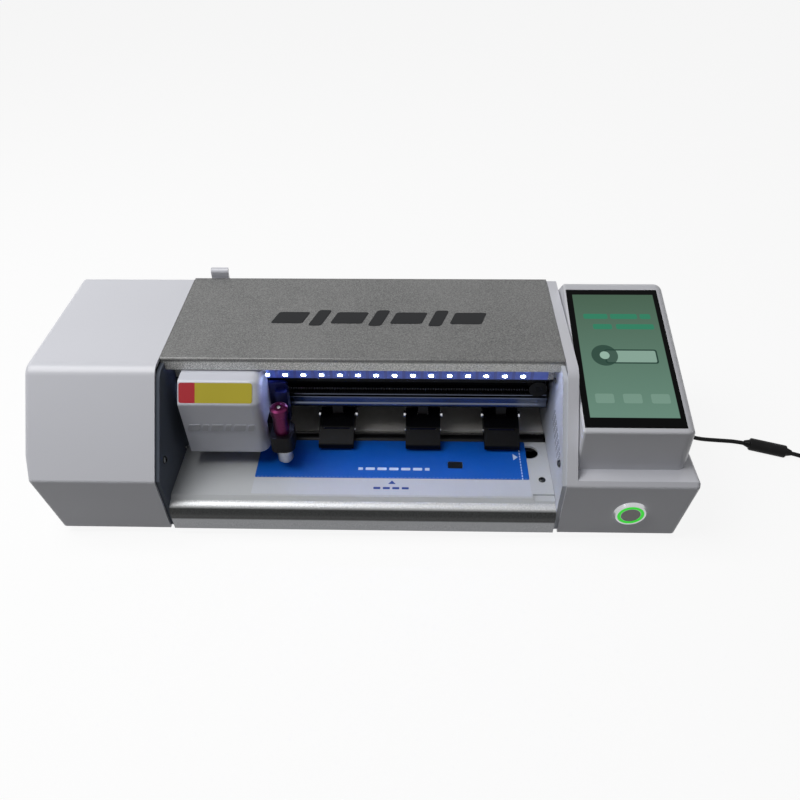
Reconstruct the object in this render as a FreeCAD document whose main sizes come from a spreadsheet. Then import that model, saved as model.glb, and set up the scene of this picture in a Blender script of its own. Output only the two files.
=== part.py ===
import FreeCAD, Part
import math
import os
import Sketcher

# A desktop film and vinyl cutter with a touch-screen console.
# Millimetres; +X to the right, +Y to the back, +Z up. The origin is on the table, below the
# middle of the machine's box. The sheet holds the driving sizes; everything else follows them.

doc = FreeCAD.newDocument("FilmCutter")
sheet = doc.addObject("Spreadsheet::Sheet", "Sizes")

SIZES = {
    # outer casing
    "body_length": 474, "knee_depth": 90, "rear_depth": 82, "base_height": 7, "top_height": 122,
    "knee_height": 59, "front_slope": 51.3, "undercut": 4.4, "brow_radius": 12, "edge_radius": 3.5,
    "end_taper": 10.5, "right_taper": 6.3, "taper_height": 71, "cavity_width": 288, "shell_wall": 2.5,
    "plate_thickness": 3, "plate_inset": 1.5, "sheet_thickness": 2, "fit_gap": 0.3,
    "running_gap": 0.05, "cover_thickness": 2.5, "lid_setback": 11.2, "lip_depth": 10,
    # console, display and power button
    "strip_width": 7.5, "ledge_rise": 3.5, "console_margin": 7.7, "console_gap": 0.7,
    "ledge_depth": 14.5, "console_lip": 97.3, "console_tilt": 15.5, "console_slope": 137,
    "console_radius": 7, "console_back_height": 112, "glass_margin": 6.5, "glass_length": 126,
    "glass_thickness": 1.5, "glass_side": 1.6, "glass_front": 3.9, "panel_side": 2, "panel_end": 5,
    "panel_thickness": 4, "button_inset": 44, "button_height": 31,
    "bezel_radius": 12, "bezel_height": 2.2, "button_body_radius": 9, "button_body_length": 18,
    "cap_radius": 6.8,
    # bed
    "platen_height": 34, "platen_bevel": 2.8, "trim_shelf": 8.3, "trim_radius": 7.6,
    "trim_setback": 1.3, "mat_left": 82, "mat_right": 124, "mat_front": 59, "mat_thickness": 0.3,
    "sensor_x": 69.1, "sensor_y": 44.4, "sensor_length": 11.4, "sensor_width": 7.4,
    "thumb_slot_x": 126.8, "thumb_slot_y": 29.3, "thumb_slot_radius": 7, "corner_step": 1.2, "slot_half_width": 6,
    "film_slot_height": 10,
    # feed drive
    "drum_y": 12, "drum_radius": 7, "drum_rise": 0.8, "journal_radius": 4, "bearing_radius": 8,
    "bearing_flange": 9.5, "grit_rise": 0.2, "grit_length": 22, "driven_pulley_radius": 12.7,
    "motor_pulley_radius": 6.35, "feed_belt_width": 6, "belt_thickness": 1.4,
    "motor_size": 42.3, "motor_length": 34, "motor_shaft_radius": 2.5, "standoff_length": 22,
    "feed_motor_y": 30, "feed_motor_z": 62,
    # pinch rollers and their lift
    "arm_width": 27, "arm_left_x": 23, "arm_middle_x": 44.4, "arm_right_x": 105.6,
    "pivot_y": 0, "pivot_z": 47, "pivot_radius": 2, "hanger_width": 8, "hanger_reach": 3.4,
    "pin_head": 1.8, "roller_radius": 6, "roller_length": 20,
    "axle_radius": 1.5, "film_gap": 0.3, "arm_tail": 44, "arm_foot": 29.7, "spring_radius": 2.6,
    "spring_y": 22, "lift_shaft_y": 38, "lift_shaft_radius": 3, "cam_radius": 5, "cam_reach": 9.5,
    "cam_angle": 67, "cam_width": 8, "lever_x": 124.4, "lever_width": 14, "lever_thickness": 2.6,
    "lever_top": 127.5, "lever_back": 90,
    # cross beam, rail and carriage belt
    "beam_bottom": 58, "beam_top": 92, "beam_back": 12, "rail_face": 10.5, "rail_depth": 6.5,
    "rail_z": 68.5, "rail_width": 9, "belt_z": 81.4, "pulley_radius": 5.1, "pulley_flange": 6.9,
    "rail_groove": 1, "belt_width": 6, "belt_y": 6.2, "drive_x": 119, "idler_x": 131,
    "led_z": 98.5, "led_pitch": 13.5,
    # carriage and blade
    "head_left": 130, "head_width": 58.8, "head_clearance": 1, "head_brow": 40, "head_knee": 50.7,
    "head_knee_height": 97.5, "head_toe": 47.3, "head_bottom": 49, "head_back": 19,
    "head_wall": 2, "head_corner": 3.4, "head_radius": 8, "blade_x": 59.5, "blade_y": 45, "barrel_radius": 5.5,
    "barrel_cap_radius": 6.6, "barrel_cap_bottom": 85, "barrel_top": 92, "nose_radius": 5.8,
    "nose_top": 51, "nose_bottom": 39, "blade_radius": 0.8, "blade_tip": 0.45,
    "clamp_height": 14, "clamp_bottom": 54, "guide_pin_radius": 1.5,
    # power lead
    "jack_inset": 41, "jack_z": 22, "cable_diameter": 3.5, "bead_radius": 5.2, "bead_length": 29,
    "coil_width": 46, "coil_height": 14.4, "foot_radius": 9,
}
for row, (alias, number) in enumerate(SIZES.items(), start=1):
    sheet.set(f"A{row}", alias.replace("_", " "))
    sheet.set(f"B{row}", str(number))
    sheet.setAlias(f"B{row}", alias)
doc.recompute()


class Size:
    """A number together with the sheet expression that gives it."""

    def __init__(self, value, text):
        self.value = float(value)
        self.text = text

    def __add__(self, other):
        return joined(self, "+", other, self.value + sized(other).value)

    def __sub__(self, other):
        return joined(self, "-", other, self.value - sized(other).value)

    def __mul__(self, other):
        return joined(self, "*", other, self.value * sized(other).value)

    def __truediv__(self, other):
        return joined(self, "/", other, self.value / sized(other).value)

    def __radd__(self, other):
        return sized(other) + self

    def __rsub__(self, other):
        return sized(other) - self

    def __rmul__(self, other):
        return sized(other) * self

    def __rtruediv__(self, other):
        return sized(other) / self

    def __neg__(self):
        return self * -1


def sized(number):
    """A Size as it is, or a plain number as a Size."""
    return number if isinstance(number, Size) else Size(number, repr(float(number)))


def joined(left, sign, right, value):
    """The Size of a sum, difference, product or quotient."""
    return Size(value, f"({left.text} {sign} {sized(right).text})")


def of(alias):
    """The size of that name in the sheet."""
    return Size(float(sheet.get(alias)), f"Sizes.{alias}")


def sine(angle):
    return Size(math.sin(math.radians(angle.value)), f"sin({angle.text} * 1 deg)")


def cosine(angle):
    return Size(math.cos(math.radians(angle.value)), f"cos({angle.text} * 1 deg)")


def tangent(angle):
    return Size(math.tan(math.radians(angle.value)), f"tan({angle.text} * 1 deg)")


def bind(item, path, size):
    """Tie a property to its expression."""
    item.setExpression(path, sized(size).text)


def place(item, x, y, z, axis=None, angle=None):
    """Place an object, turned by an angle about an axis when one is given."""
    if axis:
        turn = FreeCAD.Rotation(FreeCAD.Vector(*axis), sized(angle).value)
        item.Placement = FreeCAD.Placement(FreeCAD.Vector(0, 0, 0), turn)
    for letter, size in zip("xyz", (x, y, z)):
        bind(item, f"Placement.Base.{letter}", size)
    if isinstance(angle, Size):
        bind(item, "Placement.Rotation.Angle", angle * Size(1, "1 deg"))
    return item


nodes = {}


def node(name, item):
    """Keep an object as the sub-part of that name."""
    item.Label = name
    nodes[name] = item
    return item


# ---------------------------------------------------------------- modelling helpers

def new_body(name, x=0, y=0, z=0):
    """An empty body, placed at its own origin."""
    return place(doc.addObject("PartDesign::Body", name), x, y, z)


def sketch_on(body, plane, offset=0):
    """A sketch on one of the body's origin planes, moved along the plane's normal."""
    sketch = body.newObject("Sketcher::SketchObject", f"{body.Name}_sketch")
    support = [item for item in body.Origin.OriginFeatures if item.Role == f"{plane}_Plane"][0]
    sketch.AttachmentSupport = (support, [""])
    sketch.MapMode = "FlatFace"
    bind(sketch, "AttachmentOffset.Base.z", offset)
    return sketch


def circle(sketch, u, v, radius):
    """A circle tied to its centre and radius."""
    centre = FreeCAD.Vector(sized(u).value, sized(v).value, 0)
    item = sketch.addGeometry(Part.Circle(centre, FreeCAD.Vector(0, 0, 1), sized(radius).value))
    for kind, size in (("DistanceX", u), ("DistanceY", v)):
        index = sketch.addConstraint(Sketcher.Constraint(kind, -1, 1, item, 3, sized(size).value))
        bind(sketch, f"Constraints[{index}]", size)
    index = sketch.addConstraint(Sketcher.Constraint("Radius", item, sized(radius).value))
    bind(sketch, f"Constraints[{index}]", radius)


def outline(sketch, corners):
    """A closed outline through the corners; a corner's third entry is its rounding radius."""
    points = [FreeCAD.Vector(sized(c[0]).value, sized(c[1]).value, 0) for c in corners]
    count = len(points)
    begins, ends, arcs = list(points), list(points), {}
    for i, corner in enumerate(corners):
        if len(corner) == 3:
            radius = sized(corner[2]).value
            back = (points[i - 1] - points[i]).normalize()
            ahead = (points[(i + 1) % count] - points[i]).normalize()
            bend = back.getAngle(ahead) / 2
            ends[i] = points[i] + back * (radius / math.tan(bend))
            begins[i] = points[i] + ahead * (radius / math.tan(bend))
            middle = points[i] + (back + ahead).normalize() * (radius / math.sin(bend))
            arcs[i] = (middle, radius, back.cross(ahead).z < 0)
    sides = [
        sketch.addGeometry(Part.LineSegment(begins[i], ends[(i + 1) % count])) for i in range(count)
    ]
    rules = []
    anchors = []
    for i in range(count):
        before, after = sides[i - 1], sides[i]
        if i not in arcs:
            rules.append(Sketcher.Constraint("Coincident", before, 2, after, 1))
            anchors.append((after, 1))
            continue
        middle, radius, forward = arcs[i]
        first, last = (ends[i], begins[i]) if forward else (begins[i], ends[i])
        angles = [math.atan2((p - middle).y, (p - middle).x) for p in (first, last)]
        ring = Part.Circle(middle, FreeCAD.Vector(0, 0, 1), radius)
        arc = sketch.addGeometry(Part.ArcOfCircle(ring, angles[0], angles[1]))
        tip = sketch.addGeometry(Part.Point(points[i]), True)
        near, far = (1, 2) if forward else (2, 1)
        rules += [
            Sketcher.Constraint("Tangent", before, 2, arc, near),
            Sketcher.Constraint("Tangent", arc, far, after, 1),
            Sketcher.Constraint("PointOnObject", tip, 1, before),
            Sketcher.Constraint("PointOnObject", tip, 1, after),
        ]
        anchors.append((tip, 1))
        rules.append((arc, corners[i][2]))
    sketch.addConstraint([rule for rule in rules if not isinstance(rule, tuple)])
    for arc, radius in [rule for rule in rules if isinstance(rule, tuple)]:
        index = sketch.addConstraint(Sketcher.Constraint("Radius", arc, sized(radius).value))
        bind(sketch, f"Constraints[{index}]", radius)
    for (geometry, end), corner in zip(anchors, corners):
        for kind, size in zip(("DistanceX", "DistanceY"), corner):
            rule = Sketcher.Constraint(kind, -1, 1, geometry, end, sized(size).value)
            bind(sketch, f"Constraints[{sketch.addConstraint(rule)}]", size)


def rectangle(sketch, left, right, low, high, radius=None):
    """A rectangle, with its four corners rounded when a radius is given."""
    corners = [(left, low), (right, low), (right, high), (left, high)]
    outline(sketch, [c + (radius,) for c in corners] if radius else corners)


def pad(body, sketch, length, way=1, middle=False):
    """Extrude a sketch along its normal (way 1) or against it (way -1)."""
    feature = body.newObject("PartDesign::Pad", f"{body.Name}_pad")
    feature.Profile = sketch
    bind(feature, "Length", length)
    feature.Reversed = way < 0
    feature.SideType = "Symmetric" if middle else "One side"
    sketch.Visibility = False
    return feature


def pocket(body, sketch, length=None, way=1, middle=False):
    """Cut a sketch along its normal (way 1) or against it (way -1), right through if no length."""
    feature = body.newObject("PartDesign::Pocket", f"{body.Name}_pocket")
    feature.Profile = sketch
    feature.Type = "Length" if length else "ThroughAll"
    if length:
        bind(feature, "Length", length)
    feature.Reversed = way > 0
    feature.SideType = "Symmetric" if middle else "One side"
    return feature


def rounded(body, radius, chosen):
    """Fillet the edges of the body that the test picks, judged by their bounding boxes."""
    doc.recompute()
    before = body.Tip
    edges = enumerate(before.Shape.Edges, start=1)
    names = [f"Edge{i}" for i, edge in edges if chosen(edge.BoundBox)]
    feature = body.newObject("PartDesign::Fillet", f"{body.Name}_fillet")
    feature.Base = (before, names)
    bind(feature, "Radius", radius)
    return feature


def box(x, y, z, across, deep, high):
    """A box from its lowest corner."""
    item = place(doc.addObject("Part::Box", "block"), x, y, z)
    for path, size in (("Length", across), ("Width", deep), ("Height", high)):
        bind(item, path, size)
    return item


TURNS = {"Z": (None, None), "X": ((0, 1, 0), 90), "Y": ((1, 0, 0), -90)}


def rod(x, y, z, radius, length, along="Z", top=None):
    """A cylinder, or a cone when its top radius is given, that starts at a point."""
    item = doc.addObject("Part::Cone" if top else "Part::Cylinder", "rod")
    place(item, x, y, z, *TURNS[along])
    bind(item, "Radius1" if top else "Radius", radius)
    if top:
        bind(item, "Radius2", top)
    bind(item, "Height", length)
    return item


def joined_solids(*items):
    """One object of several: fused where they touch, separate solids where they don't."""
    item = doc.addObject("Part::MultiFuse", "group")
    item.Shapes = list(items)
    return item


def cut(base, *tools):
    """The base with every tool taken out of it."""
    item = doc.addObject("Part::Cut", "cut")
    item.Base = base
    item.Tool = tools[0] if len(tools) == 1 else joined_solids(*tools)
    return item


def solid_feature(shape, x=0, y=0, z=0):
    """A shape worked out by this script."""
    item = doc.addObject("Part::Feature", "form")
    item.Shape = shape
    return place(item, x, y, z)



# ---------------------------------------------------------------- shared places

half = of("body_length") / 2
cavity = of("cavity_width") / 2
wall = of("shell_wall")
gap = of("fit_gap")
play = of("running_gap")
sheet_wall = of("sheet_thickness")
floor_top = of("base_height") + sheet_wall
plate_inner = cavity - of("plate_thickness")
span = plate_inner - gap
cover_under = of("top_height") - of("cover_thickness")
lip_bottom = of("top_height") - of("lip_depth")
brow_depth = of("knee_depth") - (of("top_height") - of("knee_height")) / tangent(of("front_slope"))
lid_front = brow_depth - of("lid_setback")
head_top = lip_bottom - of("head_clearance")
drum_z = of("platen_height") + of("drum_rise") - of("drum_radius")
roller_z = drum_z + of("drum_radius") + of("grit_rise") + of("film_gap") + of("roller_radius")
console_left = cavity + of("strip_width") + of("console_gap")
console_width = half - of("console_margin") - console_left
console_front = of("knee_depth") - of("ledge_depth")
glass_width = console_width - of("glass_side") - of("glass_margin")
ledge_height = of("knee_height") + of("ledge_rise")
button_x = half - of("button_inset")
jack_x = half - of("jack_inset")
trim_face = of("knee_depth") - of("trim_setback")
platen_front = trim_face - of("trim_shelf") - of("platen_bevel")
lift_z = of("pivot_z") + 2.8
arm_places = {1: -of("arm_left_x"), 2: of("arm_middle_x"), 3: of("arm_right_x")}


def section(inset=0.0):
    """Corners of the casing's section in Y and Z, moved inwards by an inset: toe, knee, brow."""
    slope, lean = of("front_slope"), of("undercut")
    on_slope = -of("knee_depth") + inset / sine(slope)
    on_wall = -of("knee_depth") + inset / cosine(lean)
    drop = (on_slope - on_wall) / (1 / tangent(slope) + tangent(lean))
    knee = (on_wall + drop * tangent(lean), of("knee_height") - drop)
    toe = on_wall + (of("knee_height") - of("base_height")) * tangent(lean)

    def slope_at(height):
        return on_slope + (height - of("knee_height")) / tangent(slope)

    return toe, knee, slope_at


# ---------------------------------------------------------------- casing

def casing_corners():
    """The outline of an end housing, seen from its end."""
    toe, knee, slope_at = section()
    return [
        (toe, of("base_height")), knee,
        (slope_at(of("top_height")), of("top_height"), of("brow_radius")),
        (of("rear_depth"), of("top_height")), (of("rear_depth"), of("base_height")),
    ]


def hollow_corners(top):
    """The outline of the housing's inside, open below, up to a height."""
    toe, knee, slope_at = section(wall)
    return [
        (toe, of("base_height") - 1), knee, (slope_at(top), top),
        (of("rear_depth") - wall, top), (of("rear_depth") - wall, of("base_height") - 1),
    ]


def taper(side):
    """How far an end's foot lies inside its knee."""
    return of("end_taper") if side < 0 else of("right_taper")


def taper_top(side):
    """Where an end begins to slope inwards."""
    return of("taper_height") if side < 0 else ledge_height


def tapered_end(body, side):
    """Cut the lower part of the outer end to its inward slope."""
    sketch = sketch_on(body, "XZ")
    low = of("base_height") - 1
    bend = taper_top(side)
    reach = taper(side) * (bend - low) / (bend - of("base_height"))
    outline(sketch, [
        (side * half, bend), (side * (half - reach), low),
        (side * (half + 1), low), (side * (half + 1), bend),
    ])
    pocket(body, sketch, middle=True)


def soft_edges(side):
    """A test for the knee, the rear top edge and the edges round the outer end."""
    inner = half.value - taper(side).value - 0.01
    knee, low, top = (of(name).value for name in ("knee_height", "base_height", "top_height"))

    def chosen(bounds):
        level = bounds.ZLength < 0.01
        if level and bounds.YLength < 0.01:
            at_back = bounds.YMin > of("rear_depth").value - 0.01
            return abs(bounds.ZMin - knee) < 0.01 or at_back and abs(bounds.ZMin - top) < 0.01
        outside = side * bounds.XMin > inner and side * bounds.XMax > inner
        crease = side < 0 and level and abs(bounds.ZMin - taper_top(side).value) < 0.01
        return outside and not crease and bounds.ZMax > low + 0.01

    return chosen


def left_housing():
    """Moulded left end housing, open towards the cavity and below."""
    body = new_body("left_housing")
    sketch = sketch_on(body, "YZ", -half)
    outline(sketch, casing_corners())
    pad(body, sketch, half - cavity)
    tapered_end(body, -1)
    rounded(body, of("edge_radius"), soft_edges(-1))
    hollow = sketch_on(body, "YZ", -cavity)
    outline(hollow, hollow_corners(of("top_height") - wall))
    pocket(body, hollow, half - cavity - taper(-1) - wall, way=-1)
    node("left_housing", body)


def right_housing():
    """Moulded right end housing: a full-height strip by the cavity and a low ledge beside it."""
    body = new_body("right_casing")
    sketch = sketch_on(body, "YZ", cavity)
    outline(sketch, casing_corners())
    pad(body, sketch, half - cavity)
    tapered_end(body, 1)
    ledge = sketch_on(body, "XZ")
    rectangle(ledge, cavity + of("strip_width"), half + 1, ledge_height, of("top_height") + 1)
    pocket(body, ledge, middle=True)
    rounded(body, of("edge_radius"), soft_edges(1))
    strip = sketch_on(body, "YZ", cavity)
    outline(strip, hollow_corners(of("top_height") - wall))
    pocket(body, strip, of("strip_width") - wall)
    low = sketch_on(body, "YZ", cavity)
    outline(low, hollow_corners(ledge_height - wall))
    pocket(body, low, half - cavity - taper(1) - wall)
    hole = rod(button_x, *on_face(of("button_height"), -5), of("button_body_radius") + gap, 12)
    turn_to_face(hole)
    jack = rod(jack_x, of("rear_depth") - 5, of("jack_z"), 5.8, 10, "Y")
    node("right_housing", cut(body, hole, jack))


def on_face(height, depth):
    """Y and Z of a point at a height on the lower front face, moved into the machine."""
    lean = of("undercut")
    y = -of("knee_depth") + (of("knee_height") - height) * tangent(lean)
    return y + depth * cosine(lean), height + depth * sine(lean)


def turn_to_face(item):
    """Turn a cylinder so that it points squarely into the lower front face."""
    lean = 90 - of("undercut")
    item.Placement.Rotation = FreeCAD.Rotation(FreeCAD.Vector(-1, 0, 0), lean.value)
    bind(item, "Placement.Rotation.Angle", lean * Size(1, "1 deg"))
    return item


def on_screen(across, along, up):
    """A point given from the console's left front top edge, across, up the slope and out of it."""
    tilt = of("console_tilt")
    return (
        console_left + across,
        -console_front + along * cosine(tilt) - up * sine(tilt),
        of("console_lip") + along * sine(tilt) + up * cosine(tilt),
    )


def screen_box(across, along, up, wide, long, thick):
    """A box lying in the console's sloping top."""
    item = box(0, 0, 0, wide, long, thick)
    return place(item, *on_screen(across, along, up), (1, 0, 0), of("console_tilt"))


def console_housing():
    """Moulded wedge that carries the display over the right housing."""
    body = new_body("console_shell")
    back_y = -console_front + of("console_slope") * cosine(of("console_tilt"))
    back_z = of("console_lip") + of("console_slope") * sine(of("console_tilt"))
    rear = of("rear_depth") - 3
    sketch = sketch_on(body, "YZ", console_left)
    outline(sketch, [
        (-console_front, ledge_height), (-console_front, of("console_lip"), 2),
        (back_y, back_z, 6), (rear, of("console_back_height"), 6), (rear, ledge_height),
    ])
    pad(body, sketch, console_width)
    front = -console_front.value
    right = console_left.value + console_width.value

    def upright(bounds):
        return bounds.ZLength > 20 and bounds.YLength < 0.01 and bounds.XMin > right - 0.01

    rounded(body, of("console_radius"), upright)

    def top_edge(bounds):
        high = bounds.ZMax > of("console_lip").value and bounds.YLength > 30
        return high and bounds.YMin > front - 0.01

    rounded(body, 2, top_edge)
    inner = sketch_on(body, "YZ", console_left + wall)
    outline(inner, [
        (-console_front + wall, ledge_height - 1),
        (-console_front + wall, of("console_lip") - wall),
        (back_y, back_z - wall * 1.2), (rear - wall, of("console_back_height") - wall),
        (rear - wall, ledge_height - 1),
    ])
    pocket(body, inner, console_width - 2 * wall)
    recess = screen_box(
        of("glass_side") - 0.2, of("glass_front") - 0.2, -of("glass_thickness"),
        glass_width + 0.4, of("glass_length") + 0.4, 10,
    )
    side, end = of("panel_side"), of("panel_end")
    panel_width, panel_length = glass_width - 2 * side, of("glass_length") - 2 * end
    window = screen_box(
        of("glass_side") + side - 0.3, of("glass_front") + end - 0.3, -8,
        panel_width + 0.6, panel_length + 0.6, 10,
    )
    node("console_housing", cut(body, recess, window))
    glass = screen_box(
        of("glass_side"), of("glass_front"), -of("glass_thickness"),
        glass_width, of("glass_length"), of("glass_thickness"),
    )
    node("display_glass", glass)
    panel = screen_box(
        of("glass_side") + side, of("glass_front") + end,
        -of("glass_thickness") - of("panel_thickness"),
        panel_width, panel_length, of("panel_thickness"),
    )
    node("display_panel", panel)


def power_button():
    """Illuminated push button: flanged body in the front face, and the cap that moves in it."""
    def turned(depth, radius, length, top=None):
        item = rod(button_x, *on_face(of("button_height"), depth), radius, length, top=top)
        return turn_to_face(item)

    height = of("bezel_height")
    flange = turned(-height, of("bezel_radius") - 1.2, height, of("bezel_radius"))
    barrel = turned(-0.2, of("button_body_radius"), of("button_body_length"))
    well = turned(-height - 1, of("cap_radius") + 2 * play, height + 9)
    nut = turned(wall + 0.1, of("button_body_radius") + 3, 3)
    bore = turned(wall, of("button_body_radius") - 0.5, 4)
    ring = cut(nut, bore)
    node("power_button_bezel", cut(joined_solids(flange, barrel, ring), well))
    node("power_button_cap", turned(-height + 0.1, of("cap_radius"), height + 6))


def base_plate():
    """Folded steel floor with air slots below the control board."""
    body = new_body("floor_sheet")
    sketch = sketch_on(body, "XY", of("base_height"))
    reach = half - taper(-1) - wall - gap
    toe = section(wall)[0]
    rectangle(sketch, -reach, reach, toe + gap, of("rear_depth") - wall - gap, 6)
    pad(body, sketch, sheet_wall)
    slot = sketch_on(body, "XY", of("base_height"))
    rectangle(slot, 165, 167.5, -45, 15, 1.2)
    cut_slot = pocket(body, slot)
    cut_slot.SideType = "Symmetric"
    doc.recompute()
    slots = body.newObject("PartDesign::LinearPattern", "air_slots")
    slots.Originals = [cut_slot]
    slots.Direction = (slot, ["H_Axis"])
    slots.Length = 42
    slots.Occurrences = 7
    body.Tip = slots
    node("base_plate", body)
    feet = []
    for side in (-1, 1):
        for y in (-62, 62):
            x = side * (half - 34)
            feet.append(rod(x, y, 0, of("foot_radius") - 1, of("base_height"), top=of("foot_radius")))
    node("rubber_feet", joined_solids(*feet))


def side_plates():
    """Steel plates that close the cavity's two ends and carry everything between them."""
    toe, knee, slope_at = section(of("plate_inset"))
    step, lip = -lid_front + 6, -lid_front - gap
    brow = cover_under - of("plate_inset")
    for name, side in (("left_side_plate", -1), ("right_side_plate", 1)):
        body = new_body(f"{name}_sheet")
        sketch = sketch_on(body, "YZ", side * plate_inner)
        low = lip_bottom - 0.5
        outline(sketch, [
            (toe, floor_top), knee, (slope_at(brow), brow, of("brow_radius") - of("plate_inset")),
            (lip, brow), (lip, low), (step, low), (step, cover_under),
            (of("rear_depth") - sheet_wall, cover_under), (of("rear_depth") - sheet_wall, floor_top),
        ])
        pad(body, sketch, of("plate_thickness"), way=side)
        holes = sketch_on(body, "YZ", side * plate_inner)
        circle(holes, -of("drum_y"), drum_z, of("bearing_radius"))
        circle(holes, of("lift_shaft_y"), lift_z, of("lift_shaft_radius") + play)
        pocket(body, holes, of("plate_thickness"), way=side)
        if side < 0:
            posts = sketch_on(body, "YZ", -cavity)
            offset = of("motor_size") / 2 - 5.7
            for across in (-1, 1):
                for up in (-1, 1):
                    circle(posts, of("feed_motor_y") + across * offset,
                           of("feed_motor_z") + up * offset, 3)
            pad(body, posts, of("standoff_length"), way=-1)
        node(name, body)


def top_cover():
    """Extruded aluminium lid with a turned-down lip and a web for the lamp strip."""
    body = new_body("lid")
    sketch = sketch_on(body, "YZ")
    front = -lid_front
    outline(sketch, [
        (front, lip_bottom), (front, of("top_height"), 1.5), (of("rear_depth"), of("top_height")),
        (of("rear_depth"), cover_under), (front + 2.5, cover_under, 1), (front + 2.5, lip_bottom),
    ])
    pad(body, sketch, 2 * (cavity - gap), middle=True)
    web = sketch_on(body, "YZ")
    rectangle(web, -14, -12.5, of("led_z") - 4.5, cover_under)
    pad(body, web, 2 * span, middle=True)
    node("top_cover", body)


def front_trim():
    """Bullnose aluminium extrusion below the front edge of the bed."""
    body = new_body("bullnose")
    sketch = sketch_on(body, "YZ")
    front = -trim_face
    back = -platen_front - of("platen_bevel")
    top = of("platen_height") - of("platen_bevel") + gap
    foot = section(wall)[0] + gap - 1.5
    outline(sketch, [
        (back, top), (front, top, of("trim_radius")), (foot - 2.3, of("base_height") + 0.5),
        (foot, of("base_height") + 0.5), (foot, floor_top), (foot + 14, floor_top),
        (foot + 14, floor_top + 2), (foot, floor_top + 2),
        (front + 2, top - 2, of("trim_radius") - 2.5), (back, top - 2),
    ])
    pad(body, sketch, 2 * span, middle=True)
    node("front_trim", body)


def rear_panel():
    """Rear sheet with the film slot and the slot that the lift lever swings in."""
    body = new_body("back_sheet")
    sketch = sketch_on(body, "XZ", -of("rear_depth"))
    rectangle(sketch, gap - cavity, cavity - gap, of("base_height") + 0.5, cover_under)
    pad(body, sketch, sheet_wall)
    slots = sketch_on(body, "XZ", -of("rear_depth"))
    low = of("platen_height")
    rectangle(slots, -95, of("mat_right") + 6, low, low + of("film_slot_height"), 3)
    reach = of("lever_width") / 2 + 3
    rectangle(slots, -of("lever_x") - reach, reach - of("lever_x"), 23, 55, 3)
    pocket(body, slots, sheet_wall, way=1)
    node("rear_panel", body)


# ---------------------------------------------------------------- bed

def end_flanges(body, front, back, low):
    """Turned-down ends that screw to the side plates."""
    sketch = sketch_on(body, "XY", low)
    for side in (-1, 1):
        rectangle(sketch, *sorted_pair(side * span, side * (span - sheet_wall)), front, back)
    pad(body, sketch, of("platen_height") - sheet_wall - low)


def sorted_pair(a, b):
    """Two sizes, the smaller first."""
    return (a, b) if a.value < b.value else (b, a)


def front_platen():
    """Front bed sheet, bevelled to meet the trim, with its sensor window and thumb hole."""
    body = new_body("front_bed")
    top = of("platen_height")
    front, back = -platen_front, -of("drum_y") - of("slot_half_width")
    low = top - of("platen_bevel") + gap
    sketch = sketch_on(body, "YZ")
    outline(sketch, [
        (back, top), (front, top), (front - of("platen_bevel"), low),
        (front - of("platen_bevel"), low - 2), (front + 1, top - sheet_wall), (back, top - sheet_wall),
    ])
    pad(body, sketch, 2 * span, middle=True)
    holes = sketch_on(body, "XY", top)
    rectangle(
        holes, of("sensor_x") - of("sensor_length") / 2, of("sensor_x") + of("sensor_length") / 2,
        -of("sensor_y") - of("sensor_width") / 2, -of("sensor_y") + of("sensor_width") / 2, 1,
    )
    reach, middle = of("thumb_slot_radius"), -of("thumb_slot_y")
    rectangle(holes, of("mat_right") - 6, of("thumb_slot_x") + reach, middle - reach, middle + reach,
              reach - 0.1)
    pocket(body, holes, sheet_wall + 4, way=-1)
    corner = sketch_on(body, "XY", top)
    rectangle(corner, of("mat_right") + 1, span + 1, front - of("platen_bevel") - 1, front + 4)
    pocket(body, corner, of("corner_step"), way=-1)
    end_flanges(body, front + 10, back - 2, 18)
    node("front_platen", body)

    mat = new_body("mat_sheet")
    sketch = sketch_on(mat, "XY", top)
    rectangle(sketch, -of("mat_left"), of("mat_right"), -of("mat_front"), back - gap, 1)
    pad(mat, sketch, of("mat_thickness"))
    window = sketch_on(mat, "XY", top)
    rectangle(
        window, of("sensor_x") - of("sensor_length") / 2, of("sensor_x") + of("sensor_length") / 2,
        -of("sensor_y") - of("sensor_width") / 2, -of("sensor_y") + of("sensor_width") / 2, 1,
    )
    pocket(mat, window, of("mat_thickness"), way=1)
    node("placement_mat", mat)

    eye = new_body("sensor_window")
    sketch = sketch_on(eye, "XY", top - 3)
    inset = 0.2
    rectangle(
        sketch, of("sensor_x") - of("sensor_length") / 2 + inset,
        of("sensor_x") + of("sensor_length") / 2 - inset,
        -of("sensor_y") - of("sensor_width") / 2 + inset,
        -of("sensor_y") + of("sensor_width") / 2 - inset, 1 - inset,
    )
    pad(eye, sketch, 3)
    back_box = box(of("sensor_x") - 8, -of("sensor_y") - 6, top - 7, 16, 12, 5)
    node("edge_sensor", joined_solids(eye, back_box))


def rear_platen():
    """Rear bed sheet, notched for the lift lever."""
    body = new_body("rear_bed")
    top = of("platen_height")
    front, back = of("slot_half_width") - of("drum_y"), of("rear_depth") - sheet_wall - gap
    reach = of("lever_width") / 2 + 4
    left, right = -of("lever_x") - reach, reach - of("lever_x")
    sketch = sketch_on(body, "XY", top - sheet_wall)
    outline(sketch, [
        (-span, front), (span, front), (span, back), (right, back), (right, 57, 3),
        (left, 57, 3), (left, back), (-span, back),
    ])
    pad(body, sketch, sheet_wall)
    end_flanges(body, front + 4, of("slot_half_width") + 60 - of("drum_y"), 18)
    node("rear_platen", body)


# ---------------------------------------------------------------- feed drive

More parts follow.
